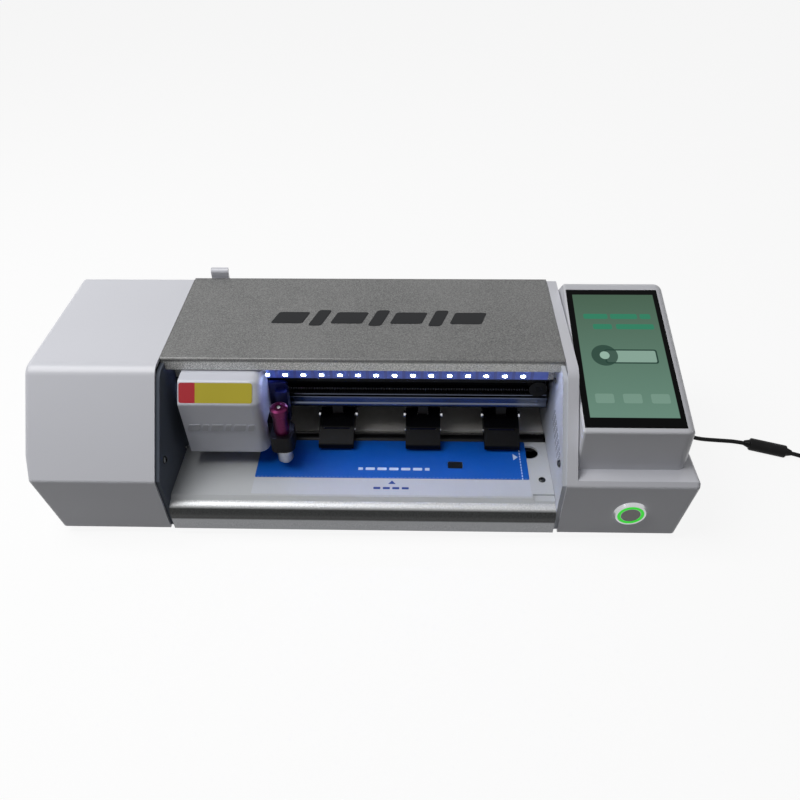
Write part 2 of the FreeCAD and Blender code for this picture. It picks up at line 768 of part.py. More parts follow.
def stepped_roller(body, steps):
    """Revolve a stepped shaft about the body's X axis; steps are (start, end, radius)."""
    sketch = sketch_on(body, "XY")
    corners = [(steps[0][0], 0)]
    for start, end, radius in steps:
        corners += [(start, radius), (end, radius)]
    corners.append((steps[-1][1], 0))
    outline(sketch, corners)
    turned = body.newObject("PartDesign::Revolution", f"{body.Name}_turned")
    turned.Profile = sketch
    turned.ReferenceAxis = (sketch, ["H_Axis"])
    turned.Angle = 360


def feed_shaft():
    """Feed drum with a grit band under each pinch roller, and its flanged bearings."""
    body = new_body("drum", 0, -of("drum_y"), drum_z)
    drum, grit = of("drum_radius"), of("drum_radius") + of("grit_rise")
    ends = plate_inner - of("fit_gap") - 1.5
    steps = [(-cavity - 14.5, -ends, of("journal_radius"))]
    left = -ends
    for x in arm_places.values():
        steps.append((left, x - of("grit_length") / 2, drum))
        steps.append((x - of("grit_length") / 2, x + of("grit_length") / 2, grit))
        left = x + of("grit_length") / 2
    steps.append((left, ends, drum))
    steps.append((ends, cavity + 2, of("journal_radius")))
    stepped_roller(body, steps)
    node("feed_shaft", body)
    rings = []
    for side in (-1, 1):
        ring_start = plate_inner if side > 0 else -cavity
        flange_start = cavity if side > 0 else -cavity - 1.2
        ring = rod(ring_start, -of("drum_y"), drum_z, of("bearing_radius"), of("plate_thickness"), "X")
        flange = rod(flange_start, -of("drum_y"), drum_z, of("bearing_flange"), 1.2, "X")
        rings += [ring, flange]
    bore = rod(-half, -of("drum_y"), drum_z, of("journal_radius") + play, 2 * half, "X")
    node("feed_bearings", cut(joined_solids(*rings), bore))


def belt_round(first, first_radius, second, second_radius, thickness):
    """The flat ring of a belt round two pulleys in the plane of Y and Z, as a face."""
    def loop(extra):
        a, b = first_radius + extra, second_radius + extra
        along = (second - first).normalize()
        across = FreeCAD.Vector(0, -along.z, along.y)
        reach = (second - first).Length
        lean = (a - b) / reach
        side = math.sqrt(1 - lean * lean)
        ups = [along * lean + across * side * way for way in (1, -1)]
        edges = [
            Part.LineSegment(first + ups[0] * a, second + ups[0] * b).toShape(),
            Part.Arc(second + ups[0] * b, second + along * b, second + ups[1] * b).toShape(),
            Part.LineSegment(second + ups[1] * b, first + ups[1] * a).toShape(),
            Part.Arc(first + ups[1] * a, first - along * a, first + ups[0] * a).toShape(),
        ]
        return Part.Face(Part.Wire(edges))

    return loop(thickness).cut(loop(0.0))


def feed_drive():
    """Feed stepper on standoffs in the left housing, with its belt to the drum."""
    y, z = of("feed_motor_y"), of("feed_motor_z")
    face = -cavity - of("standoff_length")
    size = of("motor_size")
    body = new_body("feed_stepper")
    sketch = sketch_on(body, "YZ", face)
    rectangle(sketch, y - size / 2, y + size / 2, z - size / 2, z + size / 2, 5)
    pad(body, sketch, of("motor_length"), way=-1)
    boss = sketch_on(body, "YZ", face)
    circle(boss, y, z, 11)
    pad(body, boss, 2)
    bore = sketch_on(body, "YZ", face + 2)
    circle(bore, y, z, of("motor_shaft_radius") + play)
    pocket(body, bore, 12, way=-1)
    node("feed_motor", body)

    middle = -cavity - 8.5
    start = middle - of("feed_belt_width") / 2
    shaft = rod(face - 8, y, z, of("motor_shaft_radius"), of("standoff_length") + 4, "X")
    pulley = rod(start - 0.5, y, z, of("motor_pulley_radius"), of("feed_belt_width") + 1, "X")
    rims = [
        rod(x, y, z, of("motor_pulley_radius") + 2, 1, "X")
        for x in (start - 1.5, start + of("feed_belt_width") + 0.5)
    ]
    node("feed_motor_pulley", joined_solids(shaft, pulley, *rims))

    driven = rod(start - 0.5, -of("drum_y"), drum_z, of("driven_pulley_radius"),
                 of("feed_belt_width") + 1, "X")
    rims = [
        rod(x, -of("drum_y"), drum_z, of("driven_pulley_radius") + 2, 1, "X")
        for x in (start - 1.5, start + of("feed_belt_width") + 0.5)
    ]
    bore = rod(-half, -of("drum_y"), drum_z, of("journal_radius"), half, "X")
    node("feed_driven_pulley", cut(joined_solids(driven, *rims), bore))

    slack = 2 * play.value
    ring = belt_round(
        FreeCAD.Vector(0, y.value, z.value), of("motor_pulley_radius").value + slack,
        FreeCAD.Vector(0, -of("drum_y").value, drum_z.value),
        of("driven_pulley_radius").value + slack, of("belt_thickness").value,
    )
    belt = ring.extrude(FreeCAD.Vector(of("feed_belt_width").value, 0, 0))
    node("feed_belt", solid_feature(belt, start))


# ---------------------------------------------------------------- pinch rollers

def pinch_units():
    """Three sprung arms, each on a pin through a hanger of the beam, with a roller on an axle."""
    pivot_y, pivot_z = of("pivot_y"), of("pivot_z")
    axle_y, axle_z = -of("drum_y") - pivot_y, roller_z - pivot_z
    for number, x in arm_places.items():
        arm = new_body(f"arm_{number}", x, pivot_y, pivot_z)
        side = sketch_on(arm, "YZ")
        low = of("platen_height") + 2.8 - pivot_z
        tail = of("arm_tail")
        outline(side, [
            (-of("arm_foot"), low), (-of("arm_foot"), low + 4, 1.5), (-17, 1.2, 4),
            (-8, 3.6, 4), (5, 3.6, 3), (9, -2.5, 3), (tail, -2.5), (tail, -6), (8, -6, 3),
            (3, -4, 2), (-5, low),
        ])
        pad(arm, side, of("arm_width"), middle=True)
        well = sketch_on(arm, "YZ")
        room = of("roller_radius") + 0.8
        rectangle(well, axle_y - room, axle_y + room, low - 1, axle_z + room - 0.3)
        pocket(arm, well, of("roller_length") + 1, middle=True)
        reach = of("hanger_reach") + 1
        fork = sketch_on(arm, "YZ")
        rectangle(fork, -reach, reach + 0.6, low - 1, 10)
        pocket(arm, fork, of("hanger_width") + 0.6, middle=True)
        bores = sketch_on(arm, "YZ")
        circle(bores, 0, 0, of("pivot_radius") + play)
        circle(bores, axle_y, axle_z, of("axle_radius") + play)
        pocket(arm, bores, middle=True)
        node(f"pinch_arm_{number}", arm)

        roller = rod(x - of("roller_length") / 2, -of("drum_y"), roller_z,
                     of("roller_radius"), of("roller_length"), "X")
        bore = rod(x - of("roller_length"), -of("drum_y"), roller_z,
                   of("axle_radius"), 2 * of("roller_length"), "X")
        node(f"pinch_roller_{number}", cut(roller, bore))
        reach = of("arm_width") / 2 + 0.8
        axle = rod(x - reach, -of("drum_y"), roller_z, of("axle_radius"), 2 * reach, "X")
        node(f"pinch_axle_{number}", axle)
    hangers = []
    for x in arm_places.values():
        reach, width = of("hanger_reach"), of("hanger_width")
        foot = pivot_z - reach
        plate = box(x - width / 2, pivot_y - reach, foot, width, 2 * reach, of("beam_bottom") - foot)
        long = of("arm_width") + 2 * of("pin_head")
        pin = rod(x - long / 2, pivot_y, pivot_z, of("pivot_radius"), long, "X")
        heads = [
            rod(start, pivot_y, pivot_z, of("pivot_radius") + 1, of("pin_head") - 2 * gap, "X")
            for start in (x - long / 2, x + of("arm_width") / 2 + 2 * gap)
        ]
        hangers.append(joined_solids(plate, pin, *heads))
    node("pinch_hangers", joined_solids(*hangers))

    coils = []
    start = pivot_z - 2.5
    tall = of("beam_bottom") - start
    turns = 7
    for x in arm_places.values():
        coils.append(rod(x, of("spring_y"), start, of("spring_radius") - 0.5, tall))
        for turn in range(turns):
            z = start + tall * ((turn + 0.25) / turns)
            coils.append(rod(x, of("spring_y"), z, of("spring_radius"), tall / (2 * turns)))
    node("pinch_springs", joined_solids(*coils))


def lift_gear():
    """Lift shaft with a cam over each arm's tail, and the lever that turns it."""
    y, z = of("lift_shaft_y"), lift_z
    pieces = [rod(-cavity, y, z, of("lift_shaft_radius"), 2 * cavity, "X")]
    angle = of("cam_angle")
    nose = of("cam_reach") - 2
    for x in arm_places.values():
        start = x - of("cam_width") / 2
        pieces.append(rod(start, y, z, of("cam_radius"), of("cam_width"), "X"))
        tip = rod(start, y + nose * sine(angle), z - nose * cosine(angle), 2, of("cam_width"), "X")
        pieces.append(tip)
        web = box(0, 0, 0, of("cam_width"), 4, nose)
        corner = (y + 2 * cosine(angle) * -1 + nose * sine(angle),
                  z - 2 * sine(angle) - nose * cosine(angle))
        place(web, start, *corner, (1, 0, 0), angle)
        pieces.append(web)
    node("lift_shaft", joined_solids(*pieces))

    body = new_body("lever_sheet")
    thick = of("lever_thickness")
    back, top = of("lever_back") - 1.4, of("lever_top")
    sketch = sketch_on(body, "YZ", -of("lever_x"))
    outline(sketch, [
        (y, z - 1.3), (back, z - 1.3, 4), (back, top - 3, 2), (of("lever_back"), top - 2, 1),
        (of("lever_back"), top), (back - thick, top, 3), (back - thick, z - 1.3 + thick, 1.4),
        (y, z - 1.3 + thick),
    ])
    pad(body, sketch, of("lever_width"), middle=True)
    hub = sketch_on(body, "YZ", -of("lever_x"))
    circle(hub, y, z, 6.5)
    pad(body, hub, of("lever_width"), middle=True)
    bore = sketch_on(body, "YZ", -of("lever_x"))
    circle(bore, y, z, of("lift_shaft_radius"))
    pocket(body, bore, of("lever_width") + 2, middle=True)
    node("lift_lever", body)


# ---------------------------------------------------------------- beam and carriage drive

def cross_beam():
    """Black extrusion between the side plates: rail seat below, belt channel above."""
    body = new_body("beam_extrusion")
    low, top, back = of("beam_bottom"), of("beam_top"), of("beam_back")
    seat = of("rail_depth") - of("rail_face")
    shelf = of("rail_z") + of("rail_width") / 2 + 1
    sketch = sketch_on(body, "YZ")
    outline(sketch, [
        (seat, low), (of("spring_y") + 6, low), (of("spring_y") + 6, low + 2.2), (back, low + 2.2),
        (back, top), (-11, top, 0.8), (-11, top - 2.3), (4, top - 2.3), (4, shelf), (seat, shelf),
    ])
    pad(body, sketch, 2 * plate_inner, middle=True)
    hole = sketch_on(body, "XZ", -4)
    circle(hole, -of("drive_x"), of("belt_z"), 6)
    pocket(body, hole, 10, way=-1)
    pin = rod(of("idler_x"), -10.6, of("belt_z"), of("motor_shaft_radius"), 15, "Y")
    node("cross_beam", joined_solids(body, pin))

    rail = new_body("rail_bar")
    face, width = -of("rail_face"), of("rail_width") / 2
    sketch = sketch_on(rail, "YZ")
    rows = []
    for side in (-1, 1):
        z = of("rail_z") + side * width
        dent = z - side * 0.9
        edge = [(face, z, 0.5), (face + 2, z), (face + 2.6, dent), (face + 3.8, dent),
                (face + 4.4, z), (seat, z)]
        middle, dip = of("rail_z") + side * 1.6, face + of("rail_groove")
        edge = [(dip, middle), (face, middle + side * of("rail_groove"))] + edge
        rows += edge if side > 0 else edge[::-1]
    outline(sketch, rows)
    pad(rail, sketch, 2 * (span - 2), middle=True)
    node("carriage_rail", rail)


def flanged_pulley(x, shaft):
    """A toothless-envelope belt pulley on the Y axis, with its two rims, and a shaft if it has one."""
    y, z = -of("belt_y"), of("belt_z")
    width = of("belt_width") + 0.6
    pieces = [rod(x, y - width / 2, z, of("pulley_radius"), width, "Y")]
    for start in (y - width / 2 - 0.9, y + width / 2):
        pieces.append(rod(x, start, z, of("pulley_flange"), 0.9, "Y"))
    if shaft:
        length = of("beam_back") - y + 12
        pieces.append(rod(x, y - width / 2 - 0.9, z, of("motor_shaft_radius"), length, "Y"))
        return joined_solids(*pieces)
    bore = rod(x, y - 10, z, of("motor_shaft_radius") + play, 20, "Y")
    return cut(joined_solids(*pieces), bore)


def stadium(left, right, radius, start, width):
    """A round-ended bar lying along X."""
    z = of("belt_z")
    bar = box(left, start, z - radius, right - left, width, 2 * radius)
    ends = [rod(x, start, z, radius, width, "Y") for x in (left, right)]
    return joined_solids(bar, *ends)


def carriage_drive():
    """Stepper, drive pulley, idler and the belt between them."""
    node("carriage_drive_pulley", flanged_pulley(-of("drive_x"), True))
    node("carriage_idler_pulley", flanged_pulley(of("idler_x"), False))
    start = -of("belt_y") - of("belt_width") / 2
    inner = of("pulley_radius") + 2 * play
    outer = inner + of("belt_thickness")
    ends = (-of("drive_x"), of("idler_x"))
    ring = cut(
        stadium(*ends, outer, start, of("belt_width")),
        stadium(*ends, inner, start - 1, of("belt_width") + 2),
    )
    node("carriage_belt", ring)

    body = new_body("carriage_stepper")
    size, x, z = of("motor_size"), -of("drive_x"), of("belt_z")
    sketch = sketch_on(body, "XZ", -of("beam_back"))
    rectangle(sketch, x - size / 2, x + size / 2, z - size / 2, z + size / 2, 5)
    pad(body, sketch, of("motor_length"), way=-1)
    bore = sketch_on(body, "XZ", -of("beam_back"))
    circle(bore, x, z, of("motor_shaft_radius") + play)
    pocket(body, bore, 16, way=-1)
    node("carriage_motor", body)


def led_strip():
    """Lamp strip on the lid's web: a board and its row of lamps."""
    left, right = -132, 136
    bottom = of("led_z") - 4
    pieces = [box(left, -15, bottom, right - left, 1, 8)]
    lamps = int((right - left - 6) / of("led_pitch").value)
    for lamp in range(lamps):
        pieces.append(box(left + 4 + lamp * of("led_pitch"), -16.6, of("led_z") - 1.4, 5, 1.6, 2.8))
    node("led_strip", joined_solids(*pieces))


# ---------------------------------------------------------------- carriage

def carriage():
    """Slider on the rail, bracket with blade guides, head cover and the coil that presses."""
    slider = new_body("slider_block")
    low, high = of("rail_z") - of("rail_width") / 2, of("rail_z") + of("rail_width") / 2
    face = -of("rail_face") - gap
    side = sketch_on(slider, "YZ", -114)
    outline(side, [
        (-16, 60), (-16, 78), (face, 78), (face, high + 1.3), (-6.6, high + 1.3),
        (-6.6, high + gap), (face, high + gap), (face, low - gap), (-6.6, low - gap), (-6.6, 60.4),
        (face, 60),
    ])
    pad(slider, side, 30)
    node("carriage_slider", slider)

    bracket = new_body("carriage_frame")
    plate = sketch_on(bracket, "XZ", 16)
    top = of("led_z") - 5.5
    rectangle(plate, -126, -57, 56, top, 3)
    pad(bracket, plate, 3)
    shelves = sketch_on(bracket, "XZ", 16)
    rectangle(shelves, -104, -77, top - 4, top)
    pad(bracket, shelves, 22)
    end_block = sketch_on(bracket, "XZ", 16)
    rectangle(end_block, -66, -57, 60, 88)
    pad(bracket, end_block, 8)
    jaw = sketch_on(bracket, "XZ", 3.4)
    inner_top = of("belt_z") + of("pulley_radius") + 2 * play - gap
    rectangle(jaw, -104, -90, 78, inner_top, 0.8)
    pad(bracket, jaw, 14)
    pins = [
        rod(x, -30, 49.5, of("guide_pin_radius"), 42) for x in (-98, -80)
    ]
    node("carriage_bracket", joined_solids(bracket, *pins))

    cover = new_body("head_shell")
    left, width, thick = -of("head_left"), of("head_width"), of("head_wall")
    outer = [
        (-of("head_toe"), of("head_bottom")), (-of("head_knee"), of("head_knee_height"), 3),
        (-of("head_brow"), head_top, 3), (-of("head_back"), head_top),
        (-of("head_back"), of("head_bottom")),
    ]
    side = sketch_on(cover, "YZ", left)
    outline(side, outer)
    pad(cover, side, width)
    right = (left + width).value

    def front_right(bounds):
        tall = bounds.ZLength > 10 and bounds.XMin > right - 0.01
        return tall and bounds.YMax < -of("head_brow").value + 0.5

    rounded(cover, of("head_radius"), front_right)
    inner = sketch_on(cover, "YZ", left + thick)
    outline(inner, [
        (thick - of("head_toe"), of("head_bottom") - 1),
        (thick - of("head_knee"), of("head_knee_height") - 1),
        (thick - of("head_brow"), head_top - thick), (1 - of("head_back"), head_top - thick),
        (1 - of("head_back"), of("head_bottom") - 1),
    ])
    pocket(cover, inner, width - thick - of("head_corner"))

    notch = sketch_on(cover, "YZ", left + width + 1)
    rectangle(notch, 9 - of("head_toe"), 1 - of("head_back"), of("head_bottom") - 1,
              of("clamp_bottom") + of("clamp_height") + 4)
    pocket(cover, notch, of("head_corner") + 2, way=-1)
    node("head_cover", cover)

    coil = box(-124, -42, 62, 16, 23, 26)
    plunger = rod(-116, -32, 88, 3, 8)
    node("lift_coil", joined_solids(coil, plunger))


def blade_unit():
    """Blade holder in its clamp: anodised barrel with cap, knurled nose and a free drag blade."""
    x, y = -of("blade_x"), -of("blade_y")
    low, high = of("clamp_bottom"), of("clamp_height")
    clamp = new_body("clamp_block")
    plan = sketch_on(clamp, "XY", low)
    outline(plan, [
        (-103, -36), (x - 9, -36), (x - 8.5, y - 8.5, 5), (x + 8.5, y - 8.5, 6),
        (x + 8.5, y + 8, 5), (x - 2, -25.5, 4), (-103, -25.5),
    ])
    pad(clamp, plan, high)
    holes = sketch_on(clamp, "XY", low)
    circle(holes, x, y, of("barrel_radius"))
    for pin in (-98, -80):
        circle(holes, pin, -30, of("guide_pin_radius") + play)
    pocket(clamp, holes, high, way=1)
    node("blade_clamp", clamp)

    def turned(name, profile):
        body = new_body(name, x, y, 0)
        sketch = sketch_on(body, "XZ")
        outline(sketch, profile)
        spun = body.newObject("PartDesign::Revolution", f"{name}_turned")
        spun.Profile = sketch
        spun.ReferenceAxis = (sketch, ["V_Axis"])
        spun.Angle = 360
        return body

    needle = of("blade_radius") + play
    barrel, cap = of("barrel_radius"), of("barrel_cap_radius")
    top, brim = of("barrel_top"), of("barrel_cap_bottom")
    node("blade_barrel", turned("barrel_turning", [
        (needle, of("nose_top")), (barrel, of("nose_top")), (barrel, brim), (cap, brim + 1),
        (cap, top - 1.2), (cap - 1.6, top), (2.2, top), (2.2, top - 2), (0, top - 2),
        (0, 66), (needle, 66),
    ]))
    nose = of("nose_radius")
    node("blade_nose", turned("nose_turning", [
        (needle, of("nose_bottom")), (nose - 2, of("nose_bottom")), (nose, of("nose_bottom") + 2.5),
        (nose, of("nose_top") - 0.8), (nose - 0.8, of("nose_top")), (needle, of("nose_top")),
    ]))
    tip = of("nose_bottom") - of("blade_tip")
    node("blade", turned("blade_turning", [
        (0, tip), (of("blade_radius"), tip + 1.4), (of("blade_radius"), 65.9), (0, 65.9),
    ]))


# ---------------------------------------------------------------- electrics and power lead

def control_board():
    """Control board on posts in the right housing."""
    left, right = cavity + 14, half - 17
    low, thick = floor_top + 6, 1.6
    board = box(left, -62, low, right - left, 110, thick)
    posts = [
        rod(x, y, floor_top, 3, low - floor_top) for x in (left + 4, right - 4) for y in (-58, 44)
    ]
    top = low + thick
    chips = [
        box(left + 6, -50, top, 16, 16, 9), box(right - 32, -50, top, 16, 16, 9),
        box(left + 12, -20, top, 22, 22, 2), box(left + 2, 16, top, 8, 26, 8),
        box(right - 12, -24, top, 10, 40, 10),
    ]
    node("control_board", joined_solids(board, *posts, *chips))


def power_socket():
    """DC jack in the rear wall and the plug in it."""
    x, z, back = jack_x, of("jack_z"), of("rear_depth")
    body = rod(x, back - 13, z, 5.5, 13, "Y")
    rim = rod(x, back, z, 7, 1.2, "Y")
    nut = rod(x, back - wall - 2.5, z, 8, 2.5, "Y")
    bore = rod(x, back - 10, z, 2.85, 12, "Y")
    node("dc_jack", cut(joined_solids(body, rim, nut), bore))
    tip = rod(x, back - 8, z, 2.75, 10, "Y")
    handle = rod(x, back + 1.2, z, 5, 26, "Y")
    relief = rod(x, back + 27.2, z, 4, 14, "Y", top=of("cable_diameter") / 2 + 0.6)
    node("dc_plug", joined_solids(tip, handle, relief))


# The lead's route: out of the plug, down to the table behind the machine, round its right rear
# corner and away to the right. A list of points chosen by hand.
LEAD_HEIGHT = 1.8
ROUTE = [
    (196, 123.2, 22), (196, 140, 19.5), (200, 156, 12), (210, 169, 4.6), (225, 174, LEAD_HEIGHT),
    (241, 168, LEAD_HEIGHT), (252, 153, LEAD_HEIGHT), (257, 131, LEAD_HEIGHT),
    (258, 104, LEAD_HEIGHT), (255, 76, LEAD_HEIGHT), (255, 52, LEAD_HEIGHT),
    (261, 34, LEAD_HEIGHT), (276, 23, LEAD_HEIGHT), (296, 21, LEAD_HEIGHT), (311, 15.8, 5.3),
    (352, 1.6, 5.3), (364.5, -3.6, 3.6), (372.4, -13.4, 1.9),
    (374.6, -26, LEAD_HEIGHT),
]
BEAD_SPAN = (14, 15)
COIL_MIDDLE = (396, -22)
ADAPTER_CORNER = (396, 10)


def rounded_path(points):
    """Straight runs joined by tangent arcs, as edges; prints the radius of each arc."""
    runs = [(b - a) for a, b in zip(points, points[1:])]
    edges, start = [], points[0]
    radii = []
    for index in range(1, len(points) - 1):
        back, ahead = -runs[index - 1], runs[index]
        half_turn = (math.pi - back.getAngle(ahead)) / 2
        reach = 0.45 * min(back.Length, ahead.Length)
        radii.append(round(reach / math.tan(half_turn), 1))
        corner = points[index]
        first = corner + FreeCAD.Vector(back).normalize() * reach
        last = corner + FreeCAD.Vector(ahead).normalize() * reach
        inward = (first + last) * 0.5 - corner
        middle = corner + inward.normalize() * arc_depth(reach, half_turn)
        edges.append(Part.LineSegment(start, first).toShape())
        edges.append(Part.Arc(first, middle, last).toShape())
        start = last
    edges.append(Part.LineSegment(start, points[-1]).toShape())
    print("arc radii", radii)
    return edges


def arc_depth(reach, half_turn):
    """How far the middle of an arc lies from its corner."""
    radius = reach / math.tan(half_turn)
    return radius / math.cos(half_turn) - radius


def power_lead():
    """Cable, its bead, the put-away coil and the wall adapter."""
    radius = of("cable_diameter").value / 2
    points = [FreeCAD.Vector(*point) for point in ROUTE]
    path = Part.Wire(rounded_path(points))
    ring = Part.Circle(points[0], points[1] - points[0], radius).toShape()
    tube = path.makePipeShell([Part.Wire([ring])], True, False)
    expected = math.pi * radius**2 * path.Length
    print("lead volume", round(tube.Volume, 1), "section times length", round(expected, 1))
    node("power_cable", solid_feature(tube))

    start, end = (points[i] for i in BEAD_SPAN)
    along = FreeCAD.Vector(end - start).normalize()
    middle = (start + end) * 0.5
    length = of("bead_length").value
    thick = of("bead_radius").value
    body = Part.makeCylinder(thick, length, middle - along * (length / 2), along)
    body = body.makeFillet(1.5, body.Edges)
    necks = [
        Part.makeCone(radius + 0.4, radius + 2.2, 5, middle - along * (length / 2 + 4), along),
        Part.makeCone(radius + 2.2, radius + 0.4, 5, middle + along * (length / 2 - 1), along),
    ]
    bore = Part.makeCylinder(radius, length + 30, middle - along * (length / 2 + 15), along)
    node("ferrite_bead", solid_feature(body.fuse(necks).cut(bore)))

    outer = of("coil_width") / 2
    x, y = COIL_MIDDLE
    tall = of("coil_height")
    coil = cut(rod(x, y, 0, outer, tall), rod(x, y, -1, outer - 11.3, tall + 2))
    node("cable_coil", coil)
    ax, ay = ADAPTER_CORNER
    brick = new_body("adapter_case")
    sketch = sketch_on(brick, "XY")
    rectangle(sketch, ax, ax + 42, ay, ay + 58, 4)
    pad(brick, sketch, 30)
    pins = [box(ax + 21 + side * 6.35 - 0.75, ay + 58, 12, 1.5, 17, 6.3) for side in (-1, 1)]
    relief = rod(x + outer - 1.8, ay - 10, tall - 1.8, of("cable_diameter") / 2, 11, "Y", top=4)
    node("power_adapter", joined_solids(brick, relief, *pins))


# ---------------------------------------------------------------- build and write

left_housing()
right_housing()
console_housing()
power_button()
base_plate()
side_plates()
top_cover()
front_trim()
rear_panel()
front_platen()
rear_platen()
feed_shaft()
feed_drive()
pinch_units()
lift_gear()
cross_beam()
carriage_drive()
led_strip()
carriage()
blade_unit()
control_board()
power_socket()
power_lead()
doc.recompute()

faults = [item.Label for item in doc.Objects if {"Invalid", "Error"} & set(item.State)]
faults += [name for name, item in nodes.items() if item.Shape.isNull() or not item.Shape.isValid()]
if faults:
    raise RuntimeError(f"failed objects: {faults}")

os.makedirs("parts", exist_ok=True)
for name, item in nodes.items():
    item.Shape.exportStep(f"parts/{name}.step")
    print(name, len(item.Shape.Solids), round(item.Shape.Volume, 1))
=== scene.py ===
import logging
import math
from collections.abc import Callable
from dataclasses import dataclass
from enum import Enum
from functools import cache

import bpy
import numpy as np
from mathutils import Matrix, Vector


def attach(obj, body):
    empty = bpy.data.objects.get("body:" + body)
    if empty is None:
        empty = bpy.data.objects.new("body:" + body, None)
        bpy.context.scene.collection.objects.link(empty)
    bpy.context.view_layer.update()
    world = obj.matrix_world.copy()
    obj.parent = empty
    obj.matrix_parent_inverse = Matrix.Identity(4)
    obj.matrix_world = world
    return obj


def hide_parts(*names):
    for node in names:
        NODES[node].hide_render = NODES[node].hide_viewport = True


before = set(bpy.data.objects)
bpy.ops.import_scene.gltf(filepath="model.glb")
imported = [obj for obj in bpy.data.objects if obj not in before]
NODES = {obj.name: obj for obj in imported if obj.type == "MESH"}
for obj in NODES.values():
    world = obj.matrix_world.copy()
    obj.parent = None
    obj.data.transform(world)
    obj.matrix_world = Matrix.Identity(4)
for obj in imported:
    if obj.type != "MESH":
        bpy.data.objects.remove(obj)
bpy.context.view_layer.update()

LOG = logging.getLogger("film_cutter")
MM = 0.001
SMOOTH_DEG = 30.0
FOOT_SINK = 0.02
PLATEN_TOP = 34.0
PLATE_X = 141.0
BLADE_AXIS = (-59.5, -45.0)

Colour = tuple[float, float, float]
Point = tuple[float, float, float]
Pair = tuple[float, float]
EAST, NORTH, UP = (1.0, 0.0, 0.0), (0.0, 1.0, 0.0), (0.0, 0.0, 1.0)
WEST = (-1.0, 0.0, 0.0)
BLACK, WHITE = (0.0, 0.0, 0.0), (1.0, 1.0, 1.0)


def paint(red: float, green: float, blue: float) -> Colour:
    """Gives a shader colour for a display colour.

    Args:
        red, green, blue: Display values from 0 to 255.

    Returns:
        The same colour in linear light: each value to the power 2.2 of its share of 255.
    """
    return tuple((value / 255.0) ** 2.2 for value in (red, green, blue))


def shade(colour: Colour, share: float, lift: float = 0.0) -> Colour:
    """Gives a share of a colour, lifted by a constant."""
    return tuple(part * share + lift for part in colour)


# --- shader language


def arithmetic(operation: str, reflected: bool = False) -> Callable:
    """Gives a method that combines a value with another value or number.

    Args:
        operation: The Math node's operation.
        reflected: Whether the other one comes first.

    Returns:
        The method.
    """

    def method(self: "Value", other: "Value | float") -> "Value":
        """Adds the node that does the operation."""
        pair = (other, self) if reflected else (self, other)
        return self.shader.math(operation, *pair)

    return method


class Value:
    """A number socket that can be used in Python arithmetic."""

    def __init__(self, shader: "Shader", socket: bpy.types.NodeSocket) -> None:
        """Wraps a socket of a shader."""
        self.shader = shader
        self.socket = socket

    __add__, __radd__ = arithmetic("ADD"), arithmetic("ADD", reflected=True)
    __sub__, __rsub__ = arithmetic("SUBTRACT"), arithmetic("SUBTRACT", reflected=True)
    __mul__, __rmul__ = arithmetic("MULTIPLY"), arithmetic("MULTIPLY", reflected=True)
    __mod__ = arithmetic("FLOORED_MODULO")
    larger, smaller = arithmetic("MAXIMUM"), arithmetic("MINIMUM")

    def __abs__(self) -> "Value":
        """Takes the size without its sign."""
        return self.shader.math("ABSOLUTE", self)

    def above(self, edge: float, soft: float) -> "Value":
        """Gives a mask that rises from 0 to 1 across an edge.

        Args:
            edge: Where the mask is one half.
            soft: Width of the rise.

        Returns:
            The mask, clamped to 0 and 1.
        """
        rise = self.shader.math("SUBTRACT", self, edge - soft / 2)
        return self.shader.math("DIVIDE", rise, soft, clamp=True)

    def below(self, edge: float, soft: float) -> "Value":
        """Gives the opposite of the mask that above gives."""
        return 1.0 - self.above(edge, soft)

    def near(self, centre: float, reach: float, soft: float) -> "Value":
        """Gives a mask that is 1 within a reach of a centre."""
        return abs(self - centre).below(reach, soft)


